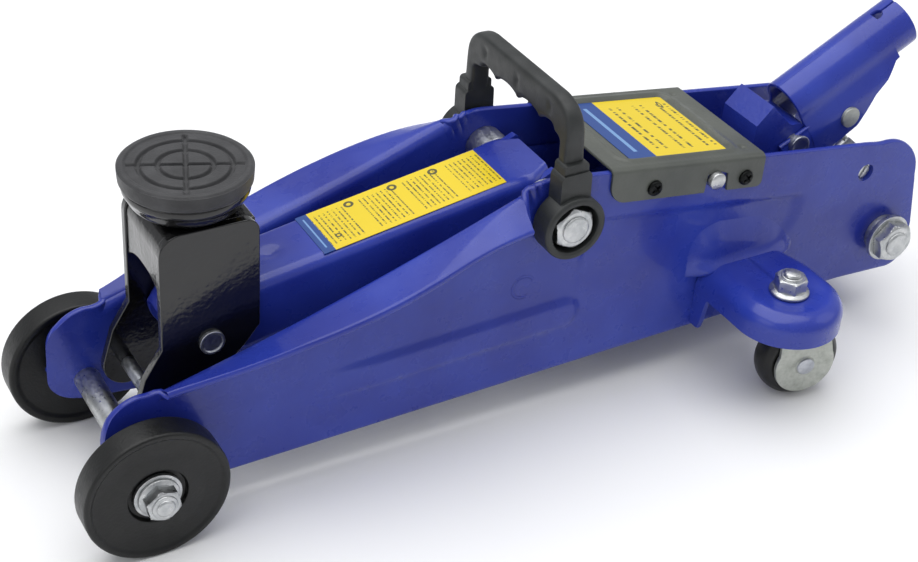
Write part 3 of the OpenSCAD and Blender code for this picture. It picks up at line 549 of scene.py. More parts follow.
# Black paint on cast iron, and black nylon: dark, with a dull sheen at the rims
WHEEL = moulded("black_cast_wheel", ["#060707", "#0a0b0b", "#0e0f0e"], 0.42, 1.2, 0.025, 0.03)
TREAD = moulded("black_nylon_wheel", ["#060707", "#0b0c0c"], 0.38, 0.9, 0.012, 0.03)
# Charcoal ABS with a fine mould grain: soft grey highlights
PLASTIC = moulded("grey_abs", ["#242626", "#2a2c2c", "#303232"], 0.45, 0.7, 0.015)
# Hard grey rubber, a little dusty: almost no highlight
RUBBER = moulded("grey_rubber", ["#2a2a2c", "#313133", "#39393b"], 0.55, 0.9, 0.03, 0.0, 0.1)
# Blackened steel: dark metal with small glints in the cross
SCREW = bare_metal("black_oxide_screw", ["#1b1c1c", "#2a2b2b"], 0.35)
# Glossy yellow and blue vinyl
ARM_MARKS = [(0.12, 0.28, 0.05)] + [(u, 0.86, 0.075) for u in (0.27, 0.51, 0.74)]
ARM_FILM = label_film("arm_label_film", 41, 0.06, ARM_MARKS)
COVER_FILM = label_film("cover_label_film", 12, 0.27, [(0.9, 0.86, 0.06)])

# Frame: side plates ----------------------------------------

PLATE_Y, PLATE_T = 33.5, 3.0
PIVOT = np.array([185.5, 101.8])
FRONT_PIN = np.array([35.5, 72.6])
LINK_PIN = np.array([13.5, 44.0])
ROD_PIN = PIVOT + LINK_PIN - FRONT_PIN
CRANK = np.array([204.5, 68.9])
REAR_BOLT = (374, 0, 45.5)
SIDE_HOLE = (356.2, 82.3)
FRONT_X, REAR_X = -15.0, 393.4
NOSE, NOSE_R = (2.0, 47.5), 17.0
REAR_CORNER, REAR_R = (367.0, 74.5), 21.4


def plate_top(x):
    """The plate's top edge: the nose's arc, a rising parabola, then a falling line with a round end."""
    rise = 63 + 0.245 * x + 0.00043 * x**2
    fall = 142 - 0.126 * x
    z = soft_min(rise, fall, 5.0)
    nose = NOSE[1] + np.sqrt(np.maximum(NOSE_R**2 - np.minimum(x - NOSE[0], 0) ** 2, 0))
    z = np.where(x < 8, nose + (z - nose) * ease(x / 8), z)
    corner = REAR_CORNER[1] + np.sqrt(np.maximum(REAR_R**2 - np.maximum(x - REAR_CORNER[0], 0) ** 2, 0))
    z = np.where(x > 355, z + (corner - z) * ease((x - 355) / 12), z)
    return np.where(x > REAR_CORNER[0] + REAR_R - 0.5, np.minimum(z, 78 - (x - 388) * 6.0), z)


def plate_bottom(x):
    """The plate's bottom edge: a nearly level line with a round corner at each end."""
    z = np.interp(x, [-4, 38, 352, 384], [20.5, 16.5, 24.6, 23.2])
    front = 31.5 - np.sqrt(np.maximum(11.0**2 - np.minimum(x + 4, 0) ** 2, 0))
    rear = 33.8 - np.sqrt(np.maximum(10.6**2 - np.maximum(x - 382.8, 0) ** 2, 0))
    return np.where(x < -4, front, np.where(x > 382.8, rear, z))


def capsule(x, z, p, q, r):
    """How far inside a round-ended bar from p to q a point is, over r."""
    d = np.array(q) - np.array(p)
    t = np.clip(((x - p[0]) * d[0] + (z - p[1]) * d[1]) / (d @ d), 0, 1)
    return 1 - np.hypot(x - p[0] - t * d[0], z - p[1] - t * d[1]) / r


def flange_width(x):
    """How far the bent flange stands out from the wall, smoothed over 20 mm of its length."""
    at, width = [8, 45, 79, 100, 118, 140, 157, 170], [4.6, 12.8, 18, 19.6, 18.9, 16, 14, 12.5]
    spans = np.linspace(-10, 10, 9)
    return sum(np.interp(x + d, at, width) for d in spans) / len(spans)


def flange_drop(x, out, width):
    """How far the flange falls away from level: it climbs outwards a little at the front, and towards the
    pivot a fold crosses it from the free edge to the bend, outside which it hangs down more and more."""
    climb = np.interp(x, [8, 60, 120], [2.4, 2.0, 0.2]) * (out / width)
    fold = width * np.clip((170 - x) / 54, 0, 1)
    steep = 0.08 + 0.62 * np.clip((x - 116) / 52, 0, 1) ** 2
    beyond = out - fold
    return steep * 0.5 * (beyond + np.sqrt(beyond**2 + 0.4)) * (x > 110) * ease((x - 110) / 12) - climb


def plate_press(x, z, top):
    """How far the wall is pressed outwards: the sunk panel behind the pivot, the long raised tongue, and the
    crease at the nose."""
    edge = 94.6 - 0.128 * (x - 205)
    end = 322.5 - 0.02 * np.maximum(edge - z - 4, 0) ** 2
    panel = -1.9 * ease((edge - z) / 2.4) * ease((end - x) / 8) * ease((x - 196) / 8)
    panel = panel * np.exp(-((np.maximum(edge - z, 0) / 34) ** 2))
    tongue = 2.0 * ease(capsule(x, z, (66, 45), (193, 50), 8.5) * 2.2) * ease((x - 60) / 50)
    tongue = tongue + 0.6 * ease(capsule(x, z, (66, 42), (193, 47), 18) * 1.2) * ease((x - 60) / 60)
    crease = np.maximum(-4.5 - 0.27 * (z - 37) - x, 0) * 0.28
    near_fold = np.exp(-(((x - 171) / 5) ** 2)) * np.exp(-(((top - z) / 6) ** 2))
    gather = 0.8 * near_fold * np.sin(x * 1.5 + z * 0.6)
    return panel + tongue + crease + gather


def side_plate(side):
    """Pressed steel: x runs along the plate, and the second parameter goes up the wall's outer face, round
    the bend, and out along the flange's underside; away from the flange it goes straight on up."""
    t = np.linspace(0, math.pi / 2, 16)
    x = np.concatenate([
        FRONT_X + (NOSE[0] - FRONT_X) * (1 - np.cos(t)), np.arange(3.2, 8, 1.2), np.linspace(8, 10.4, 6),
        np.arange(11.4, 160, 1.25), np.linspace(160, 176, 28), np.arange(177.3, 366, 1.25),
        REAR_CORNER[0] + REAR_R * np.sin(t), 388.6 + (REAR_X - 388.6) * np.sin(t[1:])
    ])[:, None]
    top, low = plate_top(x), plate_bottom(x)
    fold = ease((x - 7.6) / 2.4) * ease((169.5 - x) / 5.5)
    bend_r, reach = 1.6, 5.0
    wall_top = top - reach
    v = np.linspace(0, 1, 52)[None]
    wall_z = low + (wall_top - low) * (1 - (1 - v) ** 1.15)
    wall_y = PLATE_Y + plate_press(x + 0 * wall_z, wall_z, top)
    turn = np.radians(np.linspace(0, 90, 8))[None, 1:]
    width = flange_width(x)
    out = bend_r + (width - bend_r) * np.linspace(0, 1, 14)[None, 1:]
    bent_y = np.concatenate([bend_r * (1 - np.cos(turn)) + 0 * x, out], 1)
    level = top - PLATE_T
    bent_z = np.concatenate([level - bend_r + bend_r * np.sin(turn), level - flange_drop(x, out, width)], 1)
    rows = np.linspace(0, 1, bent_y.shape[1] + 1)[None, 1:]
    straight_z = wall_top + reach * rows
    straight_y = PLATE_Y + plate_press(x + 0 * rows, straight_z, top)
    y = np.concatenate([wall_y, straight_y + (PLATE_Y + bent_y - straight_y) * fold], 1)
    z = np.concatenate([wall_z, straight_z + (bent_z - straight_z) * fold], 1)
    part = sheet(np.stack([x + 0 * y, side * y, z], -1), side * PLATE_T, 0.6, holes=[(*SIDE_HOLE, 4.4)])
    name = "side_plate_left" if side < 0 else "side_plate_right"
    return piece(name + "_pressed", [part], "frame", BLUE_PLATE, [name], sharp=50)


for side in (-1, 1):
    side_plate(side)

# Front axle and wheels -------------------------------------

WHEEL_R = 30.0
AXLE = (0, 0, WHEEL_R)


def front_wheel(side, name):
    """A cast wheel: flat tread with rounded shoulders, a low rim round a dished face, and a hub well."""
    wheel = lathe([
        (5.6, 34.2), (10, 34.2), (10, 41.2), (25.5, 41.4), (27.2, 40.2), (29.2, 40.1), (30, 40.9), (30, 51.6),
        (29.3, 52.5), (27.7, 52.5), (26.4, 51.4), (20, 51.1), (13.2, 51.7), (12.4, 51.6), (11.9, 49.4),
        (5.6, 49.4), (5.6, 34.2)
    ], 0.55, AXLE, n=128)
    parts = on_side(side, [wheel])
    return piece(name + "_cast", parts, name + "_body", WHEEL, [name], sharp=60)


front_wheel(-1, "front_wheel_left")
front_wheel(1, "front_wheel_right")


def washer(at, r, hole, t, cup=0.0):
    """A stamped washer with rounded edges, dished by cup."""
    return lathe([(hole, 0), (r, -cup), (r, t - cup), (hole, t), (hole, 0)], 0.25, at, n=64)


def axle_end():
    """The axle's outer end: a washer, a flanged lock nut and the threaded stub."""
    flange = lathe([(0, 51.7), (8.6, 51.7), (8.6, 52.7), (6.9, 53.6), (0, 53.6)], 0.4, AXLE)
    nut = hexagon((0, 52.0, WHEEL_R), ACROSS, 13.0, 6.5, 0.2)
    collar = lathe([(0, 58.2), (5.4, 58.2), (5.2, 59.3), (0, 59.3)], 0.5, AXLE)
    stub = threaded(AXLE, ACROSS, 4.0, 50, 60.3)
    return both(washer((0, 50.0, WHEEL_R), 9.9, 4, 1.8, 0.3), flange, nut, collar, stub)


piece("front_axle_ends", axle_end(), "frame", ZINC, ["front_axle_nuts", "front_axle_washers"],
      sharp=28)
rod = lathe([(0, -49.4), (5.5, -49.4), (5.5, 49.4), (0, 49.4)], 0.4, AXLE)
piece("front_axle_rod", [rod], "frame", ZINC, ["front_axle"])

# Bolts on the frame ----------------------------------------


def rear_bolt_end():
    """A spacer boss, a big washer, a thin hexagon nut and the bolt's end standing a little out of it."""
    at = np.array(REAR_BOLT)
    end = lathe([(0, 40), (6.2, 40), (6.2, 46.1), (5.2, 46.9), (0, 46.9)], 0.5, at)
    boss = lathe([(0, 33.5), (9.5, 33.5), (9, 37.9), (0, 37.9)], 0.4, at)
    flat = washer(at + [0, 37.8, 0], 11.8, 6, 2.4)
    return both(boss, flat, hexagon(at + [0, 40.1, 0], ACROSS, 18, 5.6, 0.25), end)


piece("rear_bolt_ends", rear_bolt_end(), "frame", ZINC, ["rear_bolt_nuts", "rear_bolt_washers"],
      sharp=28)


def pivot_end():
    """The arm shaft's nut in the carry handle's ring, with a low ring round the shaft's end."""
    at = np.array([PIVOT[0], 0, PIVOT[1]])
    end = lathe([(0, 40), (6.1, 40), (6.1, 47.0), (5.3, 47.4), (0, 47.4)], 0.35, at)
    return both(hexagon(at + [0, 38.3, 0], ACROSS, 17, 8, 0.12), end)


piece("arm_pivot_ends", pivot_end(), "frame", ZINC, ["arm_pivot_nuts"], sharp=28)


def dome(at, r, start, end):
    """A headed pin's end: a cylinder with a shallow domed face."""
    face = [(r * math.cos(a), end - 1.2 + 1.2 * math.sin(a)) for a in np.radians(np.linspace(0, 90, 8))]
    return turned([(0, start), (r, start)] + face, at, n=40)


piece("cover_bolt_ends", both(dome((265.4, 0, 100.7), 4.0, -1, 38)), "frame", ZINC, ["cover_tie_bolt"])

# Lift arm --------------------------------------------------


def arm_top(x):
    """The height of the arm's top, which rises to the rear."""
    return 113.85 + 0.169 * (x - 191.3)


def arm_half(x):
    """Half the arm's width: it widens to the rear, flares at the pivot, and its rear corners are cut off."""
    return np.interp(x, [22, 57, 170, 178, 183, 191.3], [15.9, 15.9, 18.0, 18.9, 19.2, 14.5])


def arm_nose(x):
    """How far the round nose reaches above and below the front pin."""
    return np.sqrt(np.maximum(13.0**2 - (np.minimum(x, FRONT_PIN[0]) - FRONT_PIN[0]) ** 2, 0))


def arm_low(x):
    """The side walls' lower edge, from the round nose back to the lobes."""
    line = np.interp(x, [35.5, 165, 178, 191.3], [59.6, 86, 92, 96])
    return np.where(x < FRONT_PIN[0], FRONT_PIN[1] - arm_nose(x), line)


def lift_arm():
    """A channel: x runs along it, and the section goes up one wall, round a bend of 4.5 mm, over the top
    and down the other wall. Two flat lobes carry it on to the crank."""
    x = np.concatenate([
        22.6 + 12.9 * (1 - np.cos(np.linspace(0, math.pi / 2, 10))), np.arange(37, 190, 2.5),
        np.linspace(190, 191.3, 3)
    ])[:, None]
    half, top, low = arm_half(x), arm_top(x), arm_low(x)
    top = np.where(x < FRONT_PIN[0], np.minimum(top, np.minimum(FRONT_PIN[1] + arm_nose(x), 90)), top)
    r = np.minimum(4.5, (top - low) * 0.45)
    wall = np.linspace(0, 1, 12)[None]
    a = np.radians(np.linspace(0, 90, 8))[None]
    across = np.linspace(1, -1, 26)[None, 1:-1]
    up_z = low + (top - r - low) * wall
    up_y = np.repeat(half, wall.shape[1], 1)
    rim_y, rim_z = half - r + r * np.cos(a), top - r + r * np.sin(a)
    y = np.concatenate([up_y, rim_y, (half - r) * across, -rim_y[:, ::-1], -up_y], 1)
    z = np.concatenate([up_z, rim_z, top + 0 * across, rim_z[:, ::-1], up_z[:, ::-1]], 1)
    xx = np.repeat(x, y.shape[1], 1)
    dent = np.hypot(xx - 69.4, y) / 3.6
    z = z - 1.6 * np.exp(-(dent**2) * 1.4) * (z > top - 1) * (np.abs(y) < 6)
    z = z - 0.5 * ease((xx - 178) / 10) * (z > top - 4)
    channel = sheet(np.stack([xx, y, z], -1), 3.2, 0.5)
    lobe = np.concatenate([
        arc(CRANK + [4, -15], 4.5, -150, 0), arc(CRANK, 9.0, -20, 60), arc(PIVOT, 13.0, 0, 60, 8),
        [[181, 108], [171, 100]], arc(PIVOT, 15.0, 215, 235, 4), arc(CRANK, 9.0, 150, 190, 6)
    ])
    parts = [channel] + both(slab(lobe, 14.7, 17.85))
    return piece("lift_arm_channel", parts, "arm_body", BLUE, ["lift_arm"], sharp=42)


lift_arm()

# How far a label's face stands above the metal
FILM_T = 0.27


def film(name, points, body, material, replaces):
    """A label: a thin film on a grid, with u along the grid's rows and v across, on its own UV map."""
    obj = piece(name, [sheet(points, -0.25)], body, material, replaces, sharp=40)
    mesh = obj.data
    layer = mesh.uv_layers.new(name="label")
    corners = place(points)
    origin, along, over = corners[0, 0], corners[-1, 0] - corners[0, 0], corners[0, -1] - corners[0, 0]
    co = np.zeros(len(mesh.vertices) * 3)
    mesh.vertices.foreach_get("co", co)
    away = co.reshape(-1, 3) - origin
    uv = np.stack([away @ along / (along @ along), away @ over / (over @ over)], -1)
    loops = np.zeros(len(mesh.loops), int)
    mesh.loops.foreach_get("vertex_index", loops)
    layer.data.foreach_set("uv", uv[loops].ravel())
    return obj


x, y = np.meshgrid(np.linspace(87, 170.5, 30), np.linspace(-14.4, 14.4, 12), indexing="ij")
film("arm_label_print", np.stack([x, y, arm_top(x) + FILM_T], -1), "arm_body", ARM_FILM, ["arm_label"])

# Saddle bracket, saddle and rods ---------------------------

SADDLE_X = 34.5
PAD_TURN = math.radians(21)


def saddle_bracket():
    """Two cheeks of thick sheet, a front web set a little back from their edges with an arched lower edge,
    and a top plate that the saddle's spigot goes through."""
    cheek = np.concatenate([
        arc(LINK_PIN, 10.5, 160, 298, 14), [[50, 67.1]], arc((54.3, 75.6), 2.0, -60, 0, 4),
        arc((50.3, 119), 6.0, 0, 90, 6), arc((24, 116), 9.0, 90, 180, 8), [[15, 73.8]], [[7.6, 61.5]]
    ])
    web_x, bend_z, bend_r = 15.8, 116, 7.6
    y = np.linspace(-17.0, 17.0, 34)[:, None]
    v = np.linspace(0, 1, 14)[None]
    arch = 96.5 + 5.5 * (1 - (np.abs(y) / 17.0) ** 2.5)
    bend = np.radians(np.linspace(90 / 7, 90, 7))[None]
    over = np.linspace(0, 1, 12)[None, 1:]
    flat_x, flat_z = web_x + bend_r, bend_z + bend_r
    z = [arch + (bend_z - arch) * v, bend_z + bend_r * np.sin(bend) + 0 * y, flat_z + 0 * y + 0 * over]
    x = [web_x + 0 * y + 0 * v, flat_x - bend_r * np.cos(bend) + 0 * y, flat_x + 32 * over + 0 * y]
    x, z = np.concatenate(x, 1), np.concatenate(z, 1)
    web = sheet(np.stack([x, np.repeat(y, x.shape[1], 1), z], -1), 3.6, 0.4)
    return piece("saddle_bracket_pressed", both(slab(cheek, 16.4, 20.4)) + [web], "bracket_body", BLACK,
                 ["saddle_bracket"], bevel=0.7, sharp=40, segments=3)


saddle_bracket()


def pin_end(at, r, start, end, hollow=0.0):
    """A pin's end with a rounded edge, and a shallow drilled centre when hollow is set."""
    profile = [(0, start), (r, start), (r, end)]
    profile += [(hollow + 0.6, end), (hollow, end - 0.7), (0, end - 0.9)] if hollow else [(0, end)]
    return lathe(profile, 0.45, (at[0], 0, at[1]), n=48)


piece("arm_front_pin_ends", both(pin_end(FRONT_PIN, 5.3, -1, 21.9, 3.9)), "bracket_body", ZINC_DULL,
      ["arm_front_pin"])
link = both(pin_end(LINK_PIN, 3.0, -1, 24.7), pin_end(LINK_PIN, 4.8, 24.7, 26.2))
piece("link_pin_bar", link, "bracket_body", ZINC_DULL, ["link_pin"])


def saddle_cup():
    """A cast cup on a spigot, with a step under the pad and a rounded foot."""
    cup = lathe([
        (0, 112.2), (6.9, 112.2), (7.95, 113.3), (7.95, 125.5), (19.2, 125.5), (22.4, 128.2), (23.6, 131.2),
        (24.9, 133.0), (24.9, 136.0), (0, 136.0)
    ], 1.4, (SADDLE_X, 0, 0), UP, 112, 5)
    return piece("saddle_cup_cast", [cup], "saddle_body", BLACK, ["saddle_cup"], sharp=60)


saddle_cup()


def saddle_pad():
    """A rubber pad: height is a function of radius and angle, with a raised rim, two ring grooves and a
    cross groove, all with soft shoulders."""
    r = np.concatenate([np.linspace(0.01, 24.2, 90), 24.2 + 2.0 * np.sin(np.linspace(0.1, math.pi / 2, 8))])
    rr, tt, px, py = polar(r, 288)

    def groove(d, half):
        return 1.5 * ease((half + 0.55 - np.abs(d)) / 0.8)

    z = 142.5 + 0.75 * ease((rr - 22.6) / 1.2)
    cut = np.maximum(groove(rr - 10.6, 0.75), groove(rr - 18.0, 0.75))
    cross = np.maximum(groove(py, 0.7), groove(px, 0.7))
    z = z - np.maximum(cut, np.where(rr < 22.4, cross, 0))
    z = z - 0.9 * ease((rr - 24.6) / 1.6) ** 2
    side_r = np.array([26.2, 26.1, 25.9, 25.4, 24.6, 0.01])[:, None]
    side_z = np.array([141.6, 139.5, 137.2, 136.2, 136.0, 136.0])[:, None]
    radius, height = np.concatenate([rr, side_r + 0 * tt[:1]]), np.concatenate([z, side_z + 0 * tt[:1]])
    turn = tt[:1] - PAD_TURN
    points = np.stack([SADDLE_X + radius * np.cos(turn), radius * np.sin(turn), height], -1)
    part = grid(points, closed=True, caps=True)
    return piece("saddle_pad_rubber", [part], "saddle_body", RUBBER, ["saddle_pad"], sharp=70)


saddle_pad()


def radius_rod():
    """A flat bar with round eyes, one at the frame's stub and one at the bracket's link pin."""
    along = unit(ROD_PIN - LINK_PIN)
    lean = math.degrees(math.atan2(along[1], along[0]))
    front, rear = arc(LINK_PIN, 6.5, lean + 130, lean + 230, 14), arc(ROD_PIN, 8, lean - 140, lean + 140, 20)
    return slab(np.concatenate([front, rear]), 21.3, 24.3)


piece("radius_rod_pair", both(radius_rod()), "radius_rods_body", BLACK,
      ["radius_rod_left", "radius_rod_right"], bevel=0.5)

# Cover -----------------------------------------------------

COVER_X = (210.0, 292.0)
COVER_RISE, PANEL_SINK = 0.8, 0.9


def cover_z(x):
    """The height of the cover's top before pressing, which falls to the rear."""
    return 143.4 - 0.126 * x


def cover_top_press(x, y):
    """The cover's top: a raised bead round a sunk panel with round corners."""
    dx = np.maximum(np.abs(x - 249.5) - 24.5, 0)
    dy = np.maximum(np.abs(y) - 22.0, 0)
    out = np.hypot(dx, dy) - 5.0
    return 0.9 * np.exp(-(((out - 1.4) / 1.5) ** 2)) - PANEL_SINK * ease((0.4 - out) / 1.2)


def round_corner(d, r):
    """How far a corner of radius r lifts an edge, d from its end."""
    return np.where(d < r, r - np.sqrt(np.maximum(r**2 - (r - d) ** 2, 0)), 0)


def cover_low(x):
    """The skirt's lower edge: round front corner, a slot over the tie bolt, a clipped rear corner."""
    low = cover_z(x) - 15.4 + round_corner(x - COVER_X[0], 8) + round_corner(COVER_X[1] - x, 3)
    d = np.abs(x - 266.4)
    return low + ease((6.3 - d) / 0.8) * (10.0 - 1.5 * (np.minimum(d, 6) / 6) ** 2)


def cover():
    """Pressed sheet: x runs along it, and the section goes up one skirt, round a 2.5 mm bend and over."""
    x = np.unique(np.concatenate([
        COVER_X[0] + 8 * (1 - np.cos(np.linspace(0, math.pi / 2, 12))), np.arange(218, 290, 1.0),
        np.arange(259, 274, 0.35), COVER_X[1] - 3 * (1 - np.cos(np.linspace(0, math.pi / 2, 7)))
    ]))[:, None]
    half, r = PLATE_Y + 1.35, 2.5
    top, low = cover_z(x) + COVER_RISE, cover_low(x)
    a = np.radians(np.linspace(0, 90, 7))[None]
    over = np.linspace(1, -1, 76)[None, 1:-1]
    up = low + (top - r - low) * np.linspace(0, 1, 9)[None]
    rim_y, rim_z = half - r + r * np.cos(a) + 0 * x, top - r + r * np.sin(a)
    y = np.concatenate([half + 0 * up, rim_y, (half - r) * over + 0 * x, -rim_y[:, ::-1], -half + 0 * up], 1)
    z = np.concatenate([up, rim_z, top + 0 * over, rim_z[:, ::-1], up[:, ::-1]], 1)
    xx = np.repeat(x, y.shape[1], 1)
    flat = (np.abs(y) < half - r + 0.01) & (z > top - 0.1)
    dimple = 1.2 * np.exp(-((np.hypot(xx - 284.5, np.abs(y) - 26.5) / 1.3) ** 2))
    z = z + np.where(flat, cover_top_press(xx, y) - dimple, 0)
    part = sheet(np.stack([xx, y, z], -1), 1.25, 0.25)
    return piece("cover_pressed", [part], "frame", GREY, ["cover_plate"], sharp=40)


cover()
x, y = np.meshgrid(np.linspace(224.5, 276.5, 30), np.linspace(-26.2, 26.2, 20), indexing="ij")
film("cover_label_print", np.stack([x, y, cover_z(x) + COVER_RISE - PANEL_SINK + FILM_T], -1), "frame",
     COVER_FILM, ["cover_label"])


def cross_screw(x):
    """A pan-head screw: the domed face is cut by a cross whose depth falls off towards its ends."""
    z = 133.6 - 0.126 * x
    rr, _, px, pz = polar(np.concatenate([np.linspace(0.01, 3.0, 16), [3.3, 3.55, 3.6, 3.6]]), 72)
    rise = np.concatenate([1.9 - 0.35 * (np.linspace(0, 1, 16)) ** 2, [1.3, 0.9, 0.5, 0.0]])
    arms = np.minimum(np.abs(px * 0.8 + pz * 0.6), np.abs(pz * 0.8 - px * 0.6))
    cut = 1.2 * ease((0.75 - arms) / 0.3) * ease((2.4 - rr) / 0.8)
    return grid(np.stack([x + px, PLATE_Y + 1.4 + rise[:, None] - cut, z + pz], -1), closed=True, caps=True)


piece("cover_screw_heads", both(cross_screw(232.4), cross_screw(282.1)), "frame", SCREW, ["cover_screws"],
      sharp=40)

# Hydraulic unit --------------------------------------------

for name, node, material, slot, bevel in (
    ("pump_block_cast", "pump_block", BLUE_CAST, "blue_enamel", 1.0),
    ("oil_tank", "tank_tube", BLUE, "blue_enamel", 0.5),
    ("cylinder_gland_turned", "cylinder_gland", ZINC, "zinc", 0.6),
    ("cylinder_bore_tube", "cylinder_tube", ZINC, "zinc", 0.3),
    ("ram_head_slotted", "ram_head", ZINC_DULL, "zinc", 0.8),
    ("ram_rod_ground", "ram_rod", ZINC, "zinc", 0.6),
    ("release_valve_stem", "release_valve", ZINC, "zinc", 0.5),
    ("pump_gland", "pump_gland_nut", ZINC, "zinc", 0.4),
    ("filler_plug_moulded", "filler_plug", RUBBER, "pad_rubber", 0.5),
    ("safety_valve_cap", "safety_valve_plug", ZINC, "zinc", 0.4),
    ("plunger_head", "plunger_cap", ZINC, "zinc", 0.5),
    ("plunger_rod", "pump_plunger", ZINC, "zinc", 0.3),
    ("crank_pin_ends", "crank_pin", ZINC_DULL, "zinc", 0.5),
    ("pivot_shaft_turned", "arm_pivot_shaft", ZINC, "zinc", 0.4),
    ("pivot_spacer_pair", "pivot_spacers", ZINC_DULL, "zinc", 0.4),
    ("rear_bolt_shank", "rear_tie_bolt", ZINC_DULL, "zinc", 0.4),
):
    from_cad(name, node, material, bevel)
piece("rod_stub_pins", both(pin_end(ROD_PIN, 4.5, 19.2, 32.6)), "frame", ZINC_DULL, ["radius_rod_pins"])
from_cad("spring_anchor_bar", "spring_anchor", ZINC_DULL, 0.3)


def block_screw():
    """A slotted screw in the pump block's side, seen through the plate's hole."""
    _, _, px, pz = polar(np.concatenate([np.linspace(0.01, 3.4, 14), [3.7, 3.8, 3.8]]), 64)
    rise = np.concatenate([np.full(14, 31.6), [31.4, 31.0, 24.0]])
    cut = 1.3 * ease((0.75 - np.abs(px * 0.87 - pz * 0.5)) / 0.25)
    points = np.stack([SIDE_HOLE[0] + px, rise[:, None] - cut, SIDE_HOLE[1] + pz], -1)
    return grid(points, closed=True, caps=True)


def coil_path(r, turns, start, end, n=22):
    """A helix round Z, with a little more than a turn at each end closed up."""
    t = np.linspace(0, 1, int(turns * n))
    closed_up = ease((t - 1.2 / turns) / (1 - 2.4 / turns))
    h = start + (end - start) * (0.02 * t + 0.98 * closed_up)
    return np.stack([r * np.cos(t * turns * TAU), r * np.sin(t * turns * TAU), h], -1)


coil = swept(coil_path(6.7, 7, 66.9, 93.5) + [356.5, 0, 0], 0.8, 8)
piece("plunger_spring_coil", [coil], "frame", ZINC_DULL, ["plunger_spring"])


def return_spring(side):
    """A close-wound tension coil with a hook up to the arm's lobe and another round the anchor bar."""
    front, back, y, z, turns, coil_r = 217.5, 287.0, 21.0, 40.0, 34, 3.3
    t = np.linspace(0, 1, turns * 14)
    angle = t * turns * TAU
    coil = np.stack([front + (back - front) * t, y + coil_r * np.cos(angle), z + coil_r * np.sin(angle)], -1)
    hook = [
        [208.5, 14.0, 53.9], [208.5, 18.6, 53.9], [209.0, 20.0, 52.6], [212, 21.0, 46.5], [216, 21.8, 41.5]
    ]
    bend = np.radians(np.linspace(100, -200, 16))
    eye = np.stack([296 + 4.2 * np.cos(bend), np.full(16, y), 33 + 4.2 * np.sin(bend)], -1)
    return on_side(side, [swept(np.concatenate([hook, coil, [[289, y, 39.5]], eye]), 0.75, 6)])


springs = return_spring(-1) + return_spring(1)
piece("return_spring_coils", springs, "frame", ZINC_DULL, ["return_springs"], sharp=60)

# Handle socket ---------------------------------------------

SOCKET_PIN = np.array([327.5, 94.0])
PUSH_PIN = SOCKET_PIN + [28.4, 9.1]
SOCKET_LOW = SOCKET_PIN + [2.2, 12.7]
SOCKET_LEAN = math.radians(28.4)
SOCKET_R = 12.2


def up_tube(u, side, drop):
    """A point u along the tube, side across, and drop below its axis, square to it."""
    c, s = math.cos(SOCKET_LEAN), math.sin(SOCKET_LEAN)
    u, side, drop = np.broadcast_arrays(u, side, drop)
    return np.stack([SOCKET_LOW[0] + u * c + drop * s, side, SOCKET_LOW[1] + u * s - drop * c], -1)


def socket_cheek_low(u):
    """How far below the tube's axis the cheeks reach: deep at the pins, curving up to nothing at the tube."""
    at, depth = [-14, -10, 4, 14, 24, 31, 38, 46, 54], [18, 21.5, 24.6, 24.2, 23.6, 19.5, 14.6, 11.6, 6.0]
    return np.interp(u, at, depth)


def socket_flare(drop):
    """How far out a cheek stands, drop below the tube's axis."""
    return 12.3 + 3.4 * ease(drop / 13)


def handle_socket():
    """One rolled sheet. At the rear its section is a whole circle with an open seam; further down the section
    is a half circle whose sides run on down as cheeks that flare outwards."""
    u = np.linspace(26.0, 68.6, 46)[:, None]
    seam = 0.6 + 2.6 * np.sqrt(np.clip(1 - ((u - 57.6) / 3.3) ** 2, 0, 1)) * (u < 60.9)
    seam = np.where(u < 54.3, 0.02, np.where(u < 57.6, np.maximum(seam, 0.02), np.maximum(seam, 0.7)))
    gap = np.arcsin(np.clip(seam / SOCKET_R, 0, 0.5))
    a = -math.pi / 2 + gap + (TAU - 2 * gap) * np.linspace(0, 1, 97)[None]
    tube = sheet(up_tube(u, SOCKET_R * np.cos(a), SOCKET_R * np.sin(a)), -2.0, 0.35)
    u = np.concatenate([np.linspace(-15.5, 0, 14), np.linspace(1, 56, 50)])[:, None]
    deep = socket_cheek_low(u)
    s = np.linspace(0, 1, 20)[None, 1:]
    cheek = up_tube(u + 0 * s, socket_flare(deep * s) + 0.02 * deep * s, deep * s)
    a = np.radians(np.linspace(-90, 0, 22))[None]
    arch = up_tube(u + 0 * a, SOCKET_R * np.cos(a) + 0.1, SOCKET_R * np.sin(a))
    start = np.argmax(u[:, 0] >= 0)
    sides = sheet(np.concatenate([arch[start:], cheek[start:]], 1), -2.0, 0.4)
    u, deep, ear_top = u[: start + 2], deep[: start + 2], 6.5
    drop = ear_top + (deep - ear_top) * s
    ear = np.concatenate([up_tube(u, 14.5, ear_top), up_tube(u, socket_flare(drop), drop)], 1)
    parts = [tube] + both(sides, sheet(ear, -2.0, 0.4))
    return piece("handle_socket_rolled", parts, "socket_body", BLUE, ["handle_socket"],
                 sharp=40)


handle_socket()
pins = both(pin_end(SOCKET_PIN, 4.5, -1, 16.2), pin_end(SOCKET_PIN, 5.4, 16.2, 17.7, 3.4))
piece("socket_pivot_pin_ends", pins, "frame", ZINC_DULL, ["socket_pivot_pin"])
piece("socket_push_pin_ends", both(pin_end(PUSH_PIN, 5.0, -1, 17.4, 0)), "socket_body", PRESSED_ZINC,
      ["socket_push_pin"])

# Casters ---------------------------------------------------

STUD = (290.0, 67.5)
SHELF_TOP, SHELF_R = 55.0, 25.0
CASTER_YAW = math.radians(11.3)
CASTER_R, TRAIL = 19.5, 10.0


